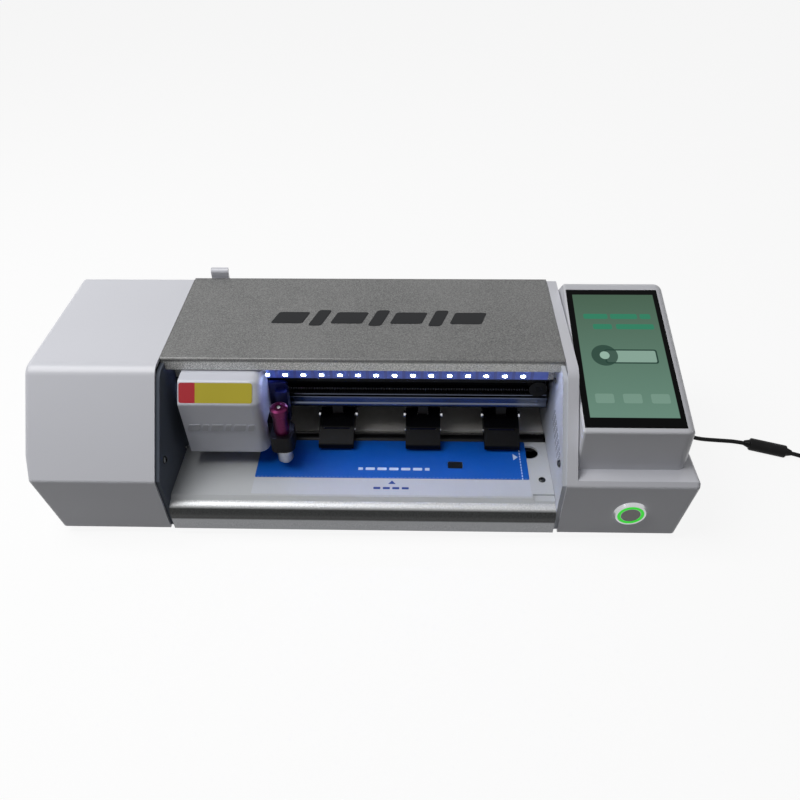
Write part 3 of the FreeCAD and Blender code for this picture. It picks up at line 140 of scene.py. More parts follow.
class Shader:
    """One procedural material or world under construction."""

    def __init__(self, name: str, world: bool = False) -> None:
        """Makes an empty material, or world, of that name with its surface shader."""
        self.data = (bpy.data.worlds if world else bpy.data.materials).new(name)
        self.data.use_nodes = True
        self.tree = self.data.node_tree
        self.surface = self.tree.nodes["Background" if world else "Principled BSDF"]
        self._place: tuple[Value, Value, Value] | None = None

    def node(
        self, kind: str, settings: dict | None = None, inputs: dict | None = None
    ) -> bpy.types.Node:
        """Adds a node.

        Args:
            kind: The node's type name.
            settings: Properties of the node, set first.
            inputs: Values, colours or sockets for its inputs, by name or index.

        Returns:
            The node.
        """
        node = self.tree.nodes.new(kind)
        for key, value in (settings or {}).items():
            setattr(node, key, value)
        for key, value in (inputs or {}).items():
            self.feed(node.inputs[key], value)
        return node

    def feed(self, target: bpy.types.NodeSocket, value: object) -> None:
        """Links or sets one input socket."""
        if isinstance(value, Value):
            value = value.socket
        if isinstance(value, bpy.types.NodeSocket):
            self.tree.links.new(value, target)
        elif isinstance(value, tuple) and target.type == "RGBA":
            target.default_value = (*value, 1.0)
        else:
            target.default_value = value

    def math(
        self, operation: str, first: object, second: object = None, clamp: bool = False
    ) -> Value:
        """Adds one Math node and wraps what comes out of it."""
        inputs = {0: first} if second is None else {0: first, 1: second}
        settings = {"operation": operation, "use_clamp": clamp}
        return Value(self, self.node("ShaderNodeMath", settings, inputs).outputs[0])

    def place(self) -> tuple[Value, Value, Value]:
        """Gives the object's own X, Y and Z in millimetres."""
        if self._place is None:
            source = self.node("ShaderNodeTexCoord").outputs["Object"]
            parts = self.node("ShaderNodeSeparateXYZ", inputs={0: source})
            self._place = tuple(Value(self, out) * 1000.0 for out in parts.outputs)
        return self._place

    def noise(self, scale: float, detail: float = 2.0, stretch: Point = WHITE) -> Value:
        """Gives noise on Object coordinates.

        Args:
            scale: Noise cells per metre.
            detail: Octaves.
            stretch: Factor on each axis, so a small one draws the noise out along it.

        Returns:
            Noise from 0 to 1.
        """
        source = self.node("ShaderNodeTexCoord").outputs["Object"]
        mapped = self.node("ShaderNodeMapping", inputs={"Vector": source, "Scale": stretch})
        inputs = {"Vector": mapped.outputs[0], "Scale": scale, "Detail": detail}
        return Value(self, self.node("ShaderNodeTexNoise", inputs=inputs).outputs["Fac"])

    def shown(self) -> Value:
        """Gives 1 for the rays that show a thing, seen straight, mirrored or through glass."""
        path = self.node("ShaderNodeLightPath").outputs
        seen = Value(self, path["Is Camera Ray"])
        for kind in ("Is Glossy Ray", "Is Transmission Ray"):
            seen = seen.larger(Value(self, path[kind]))
        return seen

    def blend(self, share: object, first: object, second: object) -> bpy.types.NodeSocket:
        """Mixes two colours.

        Args:
            share: How much of the second colour, from 0 to 1.
            first: Colour or socket.
            second: Colour or socket.

        Returns:
            The mixed colour's socket.
        """
        inputs = {"Factor": share, 6: first, 7: second}
        return self.node("ShaderNodeMix", {"data_type": "RGBA"}, inputs).outputs[2]

    def drift(
        self, colour: Colour, share: float, scale: float, detail: float = 3.0
    ) -> bpy.types.NodeSocket:
        """Gives a colour that drifts over the surface to a share of itself and back."""
        return self.blend(self.noise(scale, detail), shade(colour, share), colour)

    def set(self, name: str, value: object) -> "Shader":
        """Sets or links one input of the surface shader."""
        self.feed(self.surface.inputs[name], value)
        return self

    def look(
        self, colour: object, roughness: object, metallic: object = 0.0, specular: float = 0.5
    ) -> "Shader":
        """Sets the surface's colour, roughness, share of metal and specular level."""
        self.set("Base Color", colour).set("Roughness", roughness)
        return self.set("Metallic", metallic).set("Specular IOR Level", specular)

    def bump(self, height: Value, depth_mm: float) -> None:
        """Raises the surface by a height map of that depth."""
        inputs = {"Height": height, "Distance": depth_mm * MM, "Strength": 1.0}
        self.set("Normal", self.node("ShaderNodeBump", inputs=inputs).outputs["Normal"])

    def patch(
        self, across: Value, along: Value, centre: Pair, size: Pair, radius: float = 0.0,
        soft: float = 0.12,
    ) -> Value:
        """Masks a rounded rectangle.

        The distance is that of a point to the rectangle shrunk by the radius, less the radius:
        the length of the parts of |point - centre| - (size / 2 - radius) that are over zero.

        Args:
            across, along: Coordinates in millimetres.
            centre: Middle of the rectangle.
            size: Its width and height.
            radius: Corner radius.
            soft: Width of the edge.

        Returns:
            1 inside and 0 outside.
        """
        reach = abs(across - centre[0]) - (size[0] / 2 - radius)
        climb = abs(along - centre[1]) - (size[1] / 2 - radius)
        if radius == 0.0:
            return reach.larger(climb).below(0.0, soft)
        reach, climb = reach.larger(0.0), climb.larger(0.0)
        distance = self.math("SQRT", reach * reach + climb * climb)
        return distance.below(radius, soft)

    def patches(
        self, across: Value, along: Value, rows: tuple[tuple[float, ...], ...], radius: float
    ) -> Value:
        """Masks several rounded rectangles given by middle, width and height."""
        mask = None
        for u, v, width, height in rows:
            one = self.patch(across, along, (u, v), (width, height), radius)
            mask = one if mask is None else mask.larger(one)
        return mask


# --- finishes


class Surface:
    """A finish: each kind lays its own look on a new material."""

    def lay(self, shader: Shader) -> None:
        """Lays the look on an empty material."""
        raise NotImplementedError


@dataclass(frozen=True)
class Moulding(Surface):
    """Injection-moulded plastic: faint orange-peel, slight shade drift and a clear gloss."""

    colour: Colour
    roughness: float = 0.30
    peel_mm: float = 0.008
    coat: float = 0.25
    grain: float = 900.0
    specular: float = 0.4

    def lay(self, shader: Shader) -> None:
        """Lays the drifting shade, the gloss and the peel."""
        rough = self.roughness - 0.04 + 0.08 * shader.noise(60.0, 3.0)
        shader.look(shader.drift(self.colour, 0.93, 9.0), rough, 0.0, self.specular)
        shader.set("Coat Weight", self.coat).set("Coat Roughness", 0.12)
        shader.bump(shader.noise(self.grain, 2.0), self.peel_mm)


@dataclass(frozen=True)
class BlastedMetal(Surface):
    """Bead-blasted and anodised aluminium: coarse sparkle in colour, gloss and bump.

    Each band is a height and the dark and pale tones that hold below it, so that a rolled edge
    can shade from one to the next: painted highlight and painted reflection on the edge.
    """

    dark: Colour
    pale: Colour
    roughness: float = 0.42
    metallic: float = 0.55
    cell: float = 1500.0
    depth_mm: float = 0.05
    painted_light_bands: tuple[tuple[float, Colour, Colour], ...] = ()

    def lay(self, shader: Shader) -> None:
        """Lays the sparkle, the paler clouds and then the painted light bands over them."""
        grit = shader.noise(self.cell, 4.0)
        cloud = shader.noise(14.0, 3.0).above(0.6, 0.5)
        speck = grit.above(0.52, 0.35)
        lighter = tuple(min(1.0, part) for part in shade(self.pale, 1.15))
        tone = shader.blend(cloud * 0.35, shader.blend(speck, self.dark, self.pale), lighter)
        for height, dark, pale in self.painted_light_bands:
            below = shader.place()[2].below(height, 1.6)
            tone = shader.blend(below, tone, shader.blend(speck, dark, pale))
        shader.look(tone, self.roughness - 0.08 + 0.16 * grit, self.metallic)
        shader.bump(grit, self.depth_mm)


@dataclass(frozen=True)
class Coating(Surface):
    """Powder-coated steel: fine even texture."""

    colour: Colour
    roughness: float = 0.55
    specular: float = 0.4

    def lay(self, shader: Shader) -> None:
        """Lays the drifting shade and the fine texture."""
        fine = shader.noise(1400.0, 3.0)
        rough = self.roughness - 0.05 + 0.1 * fine
        shader.look(shader.drift(self.colour, 0.86, 12.0), rough, 0.0, self.specular)
        shader.bump(fine, 0.03)


class Grain(Enum):
    """Which way the grinding or turning marks of a metal run."""

    ALONG_X = (0.02, 1.0, 1.0)
    ROUND_X = (1.0, 0.15, 0.15)
    ROUND_Z = (0.15, 0.15, 1.0)
    NONE = (1.0, 1.0, 1.0)


@dataclass(frozen=True)
class Metal(Surface):
    """Bare or anodised metal with machining marks."""

    colour: Colour
    roughness: float = 0.25
    grain: Grain = Grain.NONE
    metallic: float = 1.0
    marks_mm: float = 0.01
    specular: float = 0.5

    def lay(self, shader: Shader) -> None:
        """Lays the marks in colour, gloss and bump."""
        marks = shader.noise(1200.0, 3.0, self.grain.value)
        base = shader.blend(marks, shade(self.colour, 0.78), self.colour)
        shader.look(base, self.roughness - 0.08 + 0.16 * marks, self.metallic, self.specular)
        shader.bump(marks, self.marks_mm)


@dataclass(frozen=True)
class CoatedHanger(Surface):
    """A black-coated hanger with a bare bright pin through its foot."""

    coat: Colour
    pin: Colour
    coat_above_mm: float

    def lay(self, shader: Shader) -> None:
        """Lays the coat above a height and the bare pin below it."""
        coated = shader.place()[2].above(self.coat_above_mm, 0.2)
        fine = shader.noise(1300.0, 3.0)
        base = shader.blend(coated, self.pin, self.coat)
        shader.look(base, 0.22 + 0.2 * coated + 0.1 * fine, 1.0 - coated)
        shader.bump(fine, 0.01)


@dataclass(frozen=True)
class Rubber(Surface):
    """Dull moulded or extruded rubber."""

    colour: Colour
    roughness: float = 0.62

    def lay(self, shader: Shader) -> None:
        """Lays the dull texture and a little dust."""
        fine = shader.noise(1100.0, 3.0)
        dust = shader.noise(45.0, 4.0).above(0.62, 0.3)
        base = shader.blend(dust, self.colour, shade(self.colour, 1.5, 0.012))
        shader.look(base, self.roughness + 0.12 * fine, 0.0, 0.15)
        shader.bump(fine, 0.02)


@dataclass(frozen=True)
class ToothedRubber(Surface):
    """Belt rubber whose tooth tips catch the light.

    The middle line is the height of the pulleys' axes; the tips lie nearest to it and are
    painted pale along the loop's rear edge, a painted highlight.
    """

    colour: Colour
    tip_highlight: Colour
    middle_z: float = 81.4
    tip_reach: float = 5.45
    lit_y: float = -5.2

    def lay(self, shader: Shader) -> None:
        """Lays the dark rubber and the painted highlight on the tips."""
        fine = shader.noise(1300.0, 3.0)
        _, along, up = shader.place()
        inner = up.near(self.middle_z, self.tip_reach, 0.3) * along.above(self.lit_y, 0.8)
        base = shader.blend(inner, self.colour, self.tip_highlight)
        shader.look(base, 0.5 + 0.12 * fine, 0.0, 0.2)
        shader.bump(fine, 0.015)


@dataclass(frozen=True)
class Glow(Surface):
    """A lit lens: a colour that shines a little, brighter in clouds."""

    colour: Colour
    strength: float

    def lay(self, shader: Shader) -> None:
        """Lays the lens and its light."""
        shader.look(self.colour, 0.3)
        shader.set("Emission Color", shader.drift(self.colour, 0.8, 350.0, 2.0))
        shader.set("Emission Strength", self.strength)


@dataclass(frozen=True)
class LampStrip(Surface):
    """A lamp strip: white board with bright, slightly blue lamps on its front."""

    board_face_mm: float = -15.15
    first_x: float = -125.5
    pitch: float = 13.5
    lamp_z: float = 98.5
    core: Pair = (2.8, 1.7)
    strength: float = 240.0

    def lay(self, shader: Shader) -> None:
        """Lays the board and the lamps.

        Whatever stands in front of the board's face is a lamp, with a strong core in its middle.
        """
        across, depth, up = shader.place()
        lamp = depth.below(self.board_face_mm, 0.1)
        half = self.pitch / 2
        row = (across + (half - self.first_x)) % self.pitch
        core = shader.patch(row, up, (half, self.lamp_z), self.core, 0.5, 0.4) * lamp
        tracks = abs(row - half).above(5.6, 0.4)
        board = shader.blend(tracks * 0.5, paint(140, 156, 212), paint(120, 112, 110))
        shader.look(shader.blend(lamp, board, paint(245, 248, 255)), 0.4)
        glow = shader.blend(shader.noise(300.0, 1.0), paint(170, 186, 255), paint(196, 210, 255))
        rim = shader.blend(lamp, paint(2, 3, 8), paint(5, 7, 11))
        shader.set("Emission Color", shader.blend(core, rim, glow))
        shader.set("Emission Strength", self.strength)


@dataclass(frozen=True)
class PrintedMat(Surface):
    """Printed film on the bed: a blue field with plain marks in place of any words."""

    field: Colour = paint(4, 88, 184)
    ink: Colour = paint(214, 226, 246)
    rule_x: float = 119.0
    front_y: float = -58.4
    bars_y: float = -49.3

    def lay(self, shader: Shader) -> None:
        """Lays the field and its marks.

        The marks are a dashed rule along the right edge and along the front edge, a pointer
        made of a triangle, and a row of short bars.
        """
        across, along, _ = shader.place()
        rule = across.near(self.rule_x, 0.35, 0.15) * (along % 3.0).near(1.5, 1.0, 0.1)
        slant = abs(along + 35.2) * 1.1 + across
        pointer = slant.below(117.6, 0.2) * across.above(113.8, 0.15)
        bars = shader.patch(across % 9.0, along, (4.5, self.bars_y), (7.0, 2.8), 0.7)
        bars = bars * shader.patch(across, along, (22.5, self.bars_y), (54.0, 4.0))
        front = (across % 3.0).near(1.5, 0.9, 0.1) * along.near(self.front_y, 0.18, 0.1)
        marks = rule.larger(pointer).larger(bars).larger(front * 0.35)
        wear = shader.noise(70.0, 4.0).above(0.6, 0.5) * 0.25
        base = shader.blend(wear, self.field, shade(self.field, 0.8, 0.02))
        rough = 0.34 + 0.1 * shader.noise(200.0, 3.0)
        shader.look(shader.blend(marks, base, self.ink), rough)
        shader.bump(shader.noise(1500.0, 2.0), 0.006)


@dataclass(frozen=True)
class PrintedMargin(Surface):
    """Pale printed strip in front of the mat: a pointer and short bars in dark blue."""

    paper: Colour = paint(196, 200, 208)
    ink: Colour = paint(28, 62, 140)
    bars_y: float = -69.0

    def lay(self, shader: Shader) -> None:
        """Lays the paper and its marks."""
        across, along, _ = shader.place()
        slant = abs(across - 21.5) * 1.25 + along
        pointer = slant.below(-61.2, 0.2) * along.above(-64.8, 0.15)
        bars = shader.patch(across % 7.0, along, (3.5, self.bars_y), (5.2, 2.2), 0.5)
        bars = bars * shader.patch(across, along, (21.0, self.bars_y), (28.0, 4.0))
        base = shader.drift(self.paper, 0.93, 30.0)
        rough = 0.38 + 0.08 * shader.noise(300.0, 2.0)
        shader.look(shader.blend(pointer.larger(bars), base, self.ink), rough)


@dataclass(frozen=True)
class TouchScreen(Surface):
    """Cover glass over a lit display: black border and a generic start screen.

    Sizes are millimetres; the screen's own coordinates run across from the console's left side
    and up the slope from its front edge. A row is a middle, a width and a height on it.
    """

    left: float
    front: float
    lift: float
    tilt_deg: float
    area: Pair = (61.1, 112.9)
    corner: Pair = (4.3, 12.1)
    title: tuple[tuple[float, ...], ...] = (
        (15, 91, 18, 5), (36, 91, 20, 5), (52, 91, 8, 5), (19, 81, 14, 5), (43, 81, 28, 5),
    )
    buttons: tuple[tuple[float, ...], ...] = (
        (12, 16, 13, 8), (31.3, 16, 13, 8), (50.6, 16, 13, 8),
    )

    def lay(self, shader: Shader) -> None:
        """Lays the border, gradient, title bars, a drawn roll of film and the buttons."""
        x, y, z = shader.place()
        tilt = math.radians(self.tilt_deg)
        across = x - (self.left + self.corner[0])
        along = (y - self.front) * math.cos(tilt) + (z - self.lift) * math.sin(tilt)
        along = along - self.corner[1]
        wide, tall = self.area
        lit = shader.patch(across, along, (wide / 2, tall / 2), self.area, 0.0, 0.3)
        dark, pale = paint(38, 66, 56), paint(150, 182, 166)
        sheet, roll = (36.0, 53.0), (17.0, 54.0)
        ground = shader.blend(along * (1.0 / tall), paint(104, 138, 122), paint(72, 98, 80))
        layers = (
            (shader.patches(across, along, self.title, 1.4), paint(50, 128, 98)),
            (shader.patch(across, along, sheet, (38.0, 13.0), 2.0), dark),
            (shader.patch(across, along, sheet, (35.6, 10.6), 1.2) * 0.8, pale),
            (shader.patch(across, along, roll, (19.0, 19.0), 9.5) * 0.85, dark),
            (shader.patch(across, along, roll, (7.0, 7.0), 3.5), pale),
            (shader.patches(across, along, self.buttons, 1.4) * 0.3, pale),
        )
        for mask, tone in layers:
            ground = shader.blend(mask, ground, tone)
        base = shader.blend(lit, paint(6, 8, 10), (0.01, 0.012, 0.011))
        shader.look(base, 0.09, 0.0, 0.05)
        shader.set("Emission Color", shader.blend(lit, BLACK, ground))
        shader.set("Emission Strength", 0.92)


@dataclass(frozen=True)
class TwoTone(Surface):
    """A blank two-colour sticker: a red end and an olive-yellow field."""

    split_mm: float

    def lay(self, shader: Shader) -> None:
        """Lays the two colours."""
        yellow = shader.blend(shader.noise(25.0, 2.0), paint(172, 158, 34), paint(186, 172, 44))
        field = shader.place()[0].above(self.split_mm, 0.15)
        rough = 0.32 + 0.08 * shader.noise(400.0, 2.0)
        shader.look(shader.blend(field, paint(168, 20, 36), yellow), rough)


@dataclass(frozen=True)
class BlankLabel(Surface):
    """A pale label with plain grey dashes in place of any words."""

    lean: Pair = (0.958, 0.2868)

    def lay(self, shader: Shader) -> None:
        """Lays the paper and the dashes, whose rows lean with the label."""
        _, y, z = shader.place()
        cosine, sine = self.lean
        across, along = cosine * z - sine * y, cosine * y + sine * z
        dashes = (across % 2.8).near(1.4, 0.75, 0.15) * (along % 5.3).near(2.6, 2.1, 0.15)
        paper = shader.blend(shader.noise(60.0, 2.0), paint(214, 218, 226), paint(224, 227, 233))
        rough = 0.42 + 0.08 * shader.noise(300.0, 2.0)
        shader.look(shader.blend(dashes, paper, paint(58, 62, 70)), rough)


@dataclass(frozen=True)
class Knurled(Surface):
    """Bright turned metal with a diamond knurl on its side."""

    colour: Colour
    middle: Pair
    pitch_deg: float = 12.0
    rise_mm: float = 1.2

    def lay(self, shader: Shader) -> None:
        """Lays two sets of helical ridges that cross.

        Each is a triangle wave of the angle round the axis plus or minus a share of the height.
        """
        x, y, z = shader.place()
        angle = shader.math("ARCTAN2", y - self.middle[1], x - self.middle[0])
        turn = angle * (math.degrees(1.0) / self.pitch_deg)
        rise = z * (1.0 / self.rise_mm)
        one, two = (abs((ridge % 1.0) - 0.5) for ridge in (turn + rise, turn - rise))
        knurl = one.smaller(two) * 2.0
        # Painted shade: the knurl's grooves are painted darker than its ridges.
        base = shader.blend(knurl, shade(self.colour, 0.45), self.colour)
        shader.look(base, 0.34 - 0.12 * knurl, 1.0)
        shader.bump(knurl, 0.18)


DULL = {"specular": 0.12}
LOOKS: dict[str, Surface] = {
    "abs_white": Moulding(paint(212, 213, 220), coat=0.1),
    "abs_console": Moulding(paint(208, 209, 215), coat=0.1),
    "abs_head": Moulding(paint(210, 212, 222), coat=0.1),
    "abs_head_mark": Moulding(paint(176, 178, 186), coat=0.1),
    "blasted_lid": BlastedMetal(
        paint(78, 79, 79), paint(134, 134, 133), 0.4, 0.3, 1300.0, 0.06,
        # Painted highlight: the lid's lip below 119 mm is painted bright, as the lamp it mirrors.
        painted_light_bands=((119.0, paint(150, 151, 150), paint(250, 250, 246)),),
    ),
    "blasted_trim": BlastedMetal(
        paint(168, 170, 172), paint(222, 223, 224), 0.4, 0.35, 1700.0,
        # Painted reflection: the trim's rounded edge is painted dark from 19 to 29.4 mm, as the
        # dark room it mirrors, and paler below 19 mm, as the floor it mirrors.
        painted_light_bands=((29.4, paint(12, 12, 13), paint(58, 60, 60)),
               (19.0, paint(150, 152, 156), paint(190, 191, 194))),
    ),
    # Painted shade: the left side plate's coat is a darker copy of the right plate's pale coat, for
    # the left wall that stands in shade.
    "plate_dark": Coating(paint(84, 90, 100), **DULL),
    "plate_pale": Coating(paint(204, 208, 216)),
    "platen_coat": Coating(paint(192, 195, 198), 0.45),
    "rear_platen_coat": Coating(paint(214, 212, 208), 0.5, **DULL),
    "zinc_sheet": Metal(paint(190, 192, 194), 0.38),
    "printed_mat": PrintedMat(),
    "printed_margin": PrintedMargin(),
    "black_beam": Metal(paint(14, 15, 20), 0.4, Grain.ALONG_X, 0.0, specular=0.15),
    "ground_rail": Metal(paint(96, 102, 118), 0.2, Grain.ALONG_X),
    "turned_steel": Metal(paint(196, 198, 202), 0.24, Grain.ROUND_X),
    "blackened_steel": Metal(paint(22, 22, 24), 0.34, Grain.ROUND_X, 0.2, specular=0.2),
    "coated_hanger": CoatedHanger(paint(12, 12, 15), paint(210, 212, 216), 49.4),
    "motor_black": Coating(paint(22, 22, 24), 0.4, **DULL),
    # Painted highlight: pale tooth tips along the belt's rear edge.
    "belt_rubber": ToothedRubber(paint(10, 10, 12), paint(205, 207, 215)),
    "roller_rubber": Rubber(paint(24, 28, 62), 0.5),
    "arm_black": Moulding(paint(12, 12, 15), 0.4, 0.02, 0.0, 1300.0, 0.1),
    "blue_anodised": Metal(paint(26, 34, 84), 0.34, metallic=0.6),
    "coil_black": Moulding(paint(20, 20, 22), 0.5, 0.02, 0.0, **DULL),
    "clamp_black": Moulding(paint(14, 12, 16), 0.4, 0.02, 0.0, **DULL),
    "magenta_anodised": Metal(paint(84, 16, 60), 0.3, Grain.ROUND_Z, 0.75),
    "knurled_nose": Knurled(paint(208, 210, 214), BLADE_AXIS),
    "ground_carbide": Metal(paint(150, 152, 156), 0.2),
    "circuit_board": Coating(paint(22, 84, 46), 0.4),
    "bright_chrome": Metal(paint(206, 208, 210), 0.16, marks_mm=0.002),
    "cap_satin": Metal(paint(150, 148, 146), 0.4, metallic=0.2, specular=0.3),
    "green_ring": Glow(paint(34, 196, 34), 0.9),
    "lamp_strip": LampStrip(),
    "foot_rubber": Rubber(paint(24, 24, 25)),
    "cord_pvc": Rubber(paint(15, 15, 16), 0.42),
    "adapter_case": Moulding(paint(20, 20, 22), 0.46, 0.03, 0.0, 1500.0),
    "satin_mark": Moulding(paint(34, 35, 37), 0.4, 0.01, 0.0, **DULL),
    "blank_sticker": TwoTone(-117.6),
    "black_screw": Metal(paint(74, 76, 78), 0.26, metallic=0.9),
    "blank_label": BlankLabel(),
    "touch_screen": TouchScreen(153.8, -75.5, 97.3, 15.5),
}


@cache
def finish(name: str) -> bpy.types.Material:
    """Makes a finish of the machine when it is first worn."""
    shader = Shader(name)
    LOOKS[name].lay(shader)
    return shader.data


# --- mesh helpers


@dataclass(frozen=True)
class Seat:
    """What a piece wears and where it sits: finish, body and the record's material slot."""

    look: str
    body: str
    slot: str


class Piece:
    """Builds meshes from arrays of points and puts them on a body of the machine."""

    @staticmethod
    def from_rings(
        name: str, rings: np.ndarray, seat: Seat, closed_path: bool = False
    ) -> bpy.types.Object:
        """Skins a row of closed rings.

        Point j of ring i joins point j of ring i + 1, so quad (i, j) has the corners (i, j),
        (i, j + 1), (i + 1, j + 1), (i + 1, j), and the first and last rings get one cap each.

        Args:
            name: Name of the piece.
            rings: Points in millimetres, shaped (rings, points, 3); seen from the end of the row
                towards its start, each ring runs anticlockwise.
            seat: Its finish, body and slot.
            closed_path: Whether the last ring joins the first, with no caps.

        Returns:
            The finished object.
        """
        count, size = rings.shape[:2]
        i = np.arange(count if closed_path else count - 1)[:, None]
        j = np.arange(size)[None, :]
        here, ahead = i * size, ((i + 1) % count) * size
        quads = np.stack(
            (here + j, here + (j + 1) % size, ahead + (j + 1) % size, ahead + j), axis=-1
        ).reshape(-1, 4)
        faces = quads.tolist()
        if not closed_path:
            faces.append(list(range(size))[::-1])
            faces.append(list(range((count - 1) * size, count * size)))
        return Piece.finish(name, (rings.reshape(-1, 3) * MM).tolist(), faces, seat)

    @staticmethod
    def finish(name: str, points: list, faces: list, seat: Seat) -> bpy.types.Object:
        """Makes a mesh of points and faces, shades it, dresses it and puts it on its body."""
        mesh = bpy.data.meshes.new(name)
        mesh.from_pydata(points, [], faces)
        mesh.validate()
        mesh.update()
        mesh.shade_smooth()
        mesh.set_sharp_from_angle(angle=math.radians(SMOOTH_DEG))
        mesh.materials.append(finish(seat.look))
        item = place_item(name, mesh)
        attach(item, seat.body)
        LOG.info("piece %s: %d faces", name, len(mesh.polygons))
        return item

    @staticmethod
    def join(name: str, items: list[bpy.types.Object], seat: Seat) -> bpy.types.Object:
        """Joins pieces of one seat into one object of that name."""
        points: list[tuple[float, ...]] = []
        faces: list[list[int]] = []
        for item in items:
            offset = len(points)
            faces += [[offset + v for v in face.vertices] for face in item.data.polygons]
            points += [tuple(corner.co) for corner in item.data.vertices]
            bpy.data.objects.remove(item)
        return Piece.finish(name, points, faces, seat)


def place_item(name: str, data: bpy.types.ID) -> bpy.types.Object:
    """Puts an object of that data into the scene."""
    item = bpy.data.objects.new(name, data)
    bpy.context.scene.collection.objects.link(item)
    return item


def coat_nodes(wear: dict[str, str]) -> None:
    """Gives solids their finishes, by name."""
    for name, look in wear.items():
        mesh = NODES[name].data
        mesh.materials.clear()
        mesh.materials.append(finish(look))
        LOG.info("finish %s on %s", look, name)


@dataclass(frozen=True)
class Facet:
    """A flat place on the machine with its own across, along and outward directions."""

    origin: Point
    across: Point
    along: Point

    def lift(self, flat: np.ndarray, height: float) -> np.ndarray:
        """Carries flat points onto the facet.

        A point (u, v) goes to origin + u across + v along + height out, where out is the cross
        product of across and along.

        Args:
            flat: Points shaped (points, 2), in millimetres.
            height: How far out of the facet, in millimetres.

        Returns:
            Points shaped (points, 3).
        """
        across, along = np.array(self.across), np.array(self.along)
        middle = np.array(self.origin) + height * np.cross(across, along)
        return middle + flat[:, :1] * across + flat[:, 1:] * along


def rounded_rectangle(width: float, height: float, radius: float, steps: int = 5) -> np.ndarray:
    """Gives the outline of a rounded rectangle about its middle.

    Each corner is a quarter circle about a centre that lies the radius inside both sides.

    Args:
        width, height, radius: Sizes in millimetres.
        steps: Points on each quarter circle.

    Returns:
        Points shaped (4 * steps, 2), anticlockwise.
    """
    angles = np.linspace(0.0, math.pi / 2, steps)
    corners = []
    for turn, (sx, sy) in enumerate(((1, 1), (-1, 1), (-1, -1), (1, -1))):
        bend = angles + turn * math.pi / 2
        x = sx * (width / 2 - radius) + radius * np.cos(bend)
        y = sy * (height / 2 - radius) + radius * np.sin(bend)
        corners.append(np.stack((x, y), axis=-1))
    return np.concatenate(corners)


def circle_about(axis: np.ndarray, first: np.ndarray, angles: np.ndarray) -> np.ndarray:
    """Gives points of a unit circle: cos(angle) first + sin(angle) (axis x first)."""
    return np.cos(angles)[:, None] * first + np.sin(angles)[:, None] * np.cross(axis, first)


def plaque(
    name: str, facet: Facet, outline: np.ndarray, thickness: float, edge: float, seat: Seat
) -> bpy.types.Object:
    """Raises a flat shape off a facet with a small bevel at its top edge.

    The rings are the outline at the foot, the outline just under the top, and the outline pulled
    towards its middle by the bevel at the top.

    Args:
        name: Name of the piece.
        facet: Where it lies.
        outline: Flat outline in millimetres, anticlockwise.
        thickness: How far it stands out.
        edge: Bevel width.
        seat: Its finish, body and slot.

    Returns:
        The piece.
    """
    middle = outline.mean(axis=0)
    away = outline - middle
    reach = np.linalg.norm(away, axis=1, keepdims=True)
    pulled = middle + away * (1.0 - edge / np.maximum(reach, edge * 2))
    rings = np.stack((
        facet.lift(outline, -FOOT_SINK), facet.lift(outline, thickness - edge),
        facet.lift(pulled, thickness),
    ))
    return Piece.from_rings(name, rings, seat)


def socket_screw(
    name: str, centre: Point, axis: Point, radius: float, height: float, seat: Seat
) -> bpy.types.Object:
    """Makes a button-head screw with a hexagonal socket.

    The head is rings from its rim over the crown to the socket's mouth; from there the rings are
    hexagons, whose radius at an angle is the flat's distance over the cosine of the angle to the
    nearest flat's middle.

    Args:
        name: Name of the piece.
        centre: Middle of the head's underside, in millimetres.
        axis: Outward direction, of length one.
        radius, height: Sizes of the head.
        seat: Its finish, body and slot.

    Returns:
        The piece.
    """
    along = np.array(axis)
    first = np.cross(along, EAST if abs(axis[0]) < 0.9 else NORTH)
    angles = np.linspace(0.0, 2 * math.pi, 36, endpoint=False)
    circle = circle_about(along, first / np.linalg.norm(first), angles)
    nearest = np.abs((angles % (math.pi / 3)) - math.pi / 6)
    hexagon = 0.46 * radius / np.cos(math.pi / 6 - nearest)
    full = np.full(36, radius)
    rows = [
        (-0.05, full), (0.35 * height, full), (0.75 * height, 0.86 * full),
        (height, 0.62 * full), (height, hexagon), (0.4 * height, hexagon),
    ]
    rings = np.stack([
        np.array(centre) + level * along + reach[:, None] * circle for level, reach in rows
    ])
    return Piece.from_rings(name, rings, seat)


# --- sub-assemblies


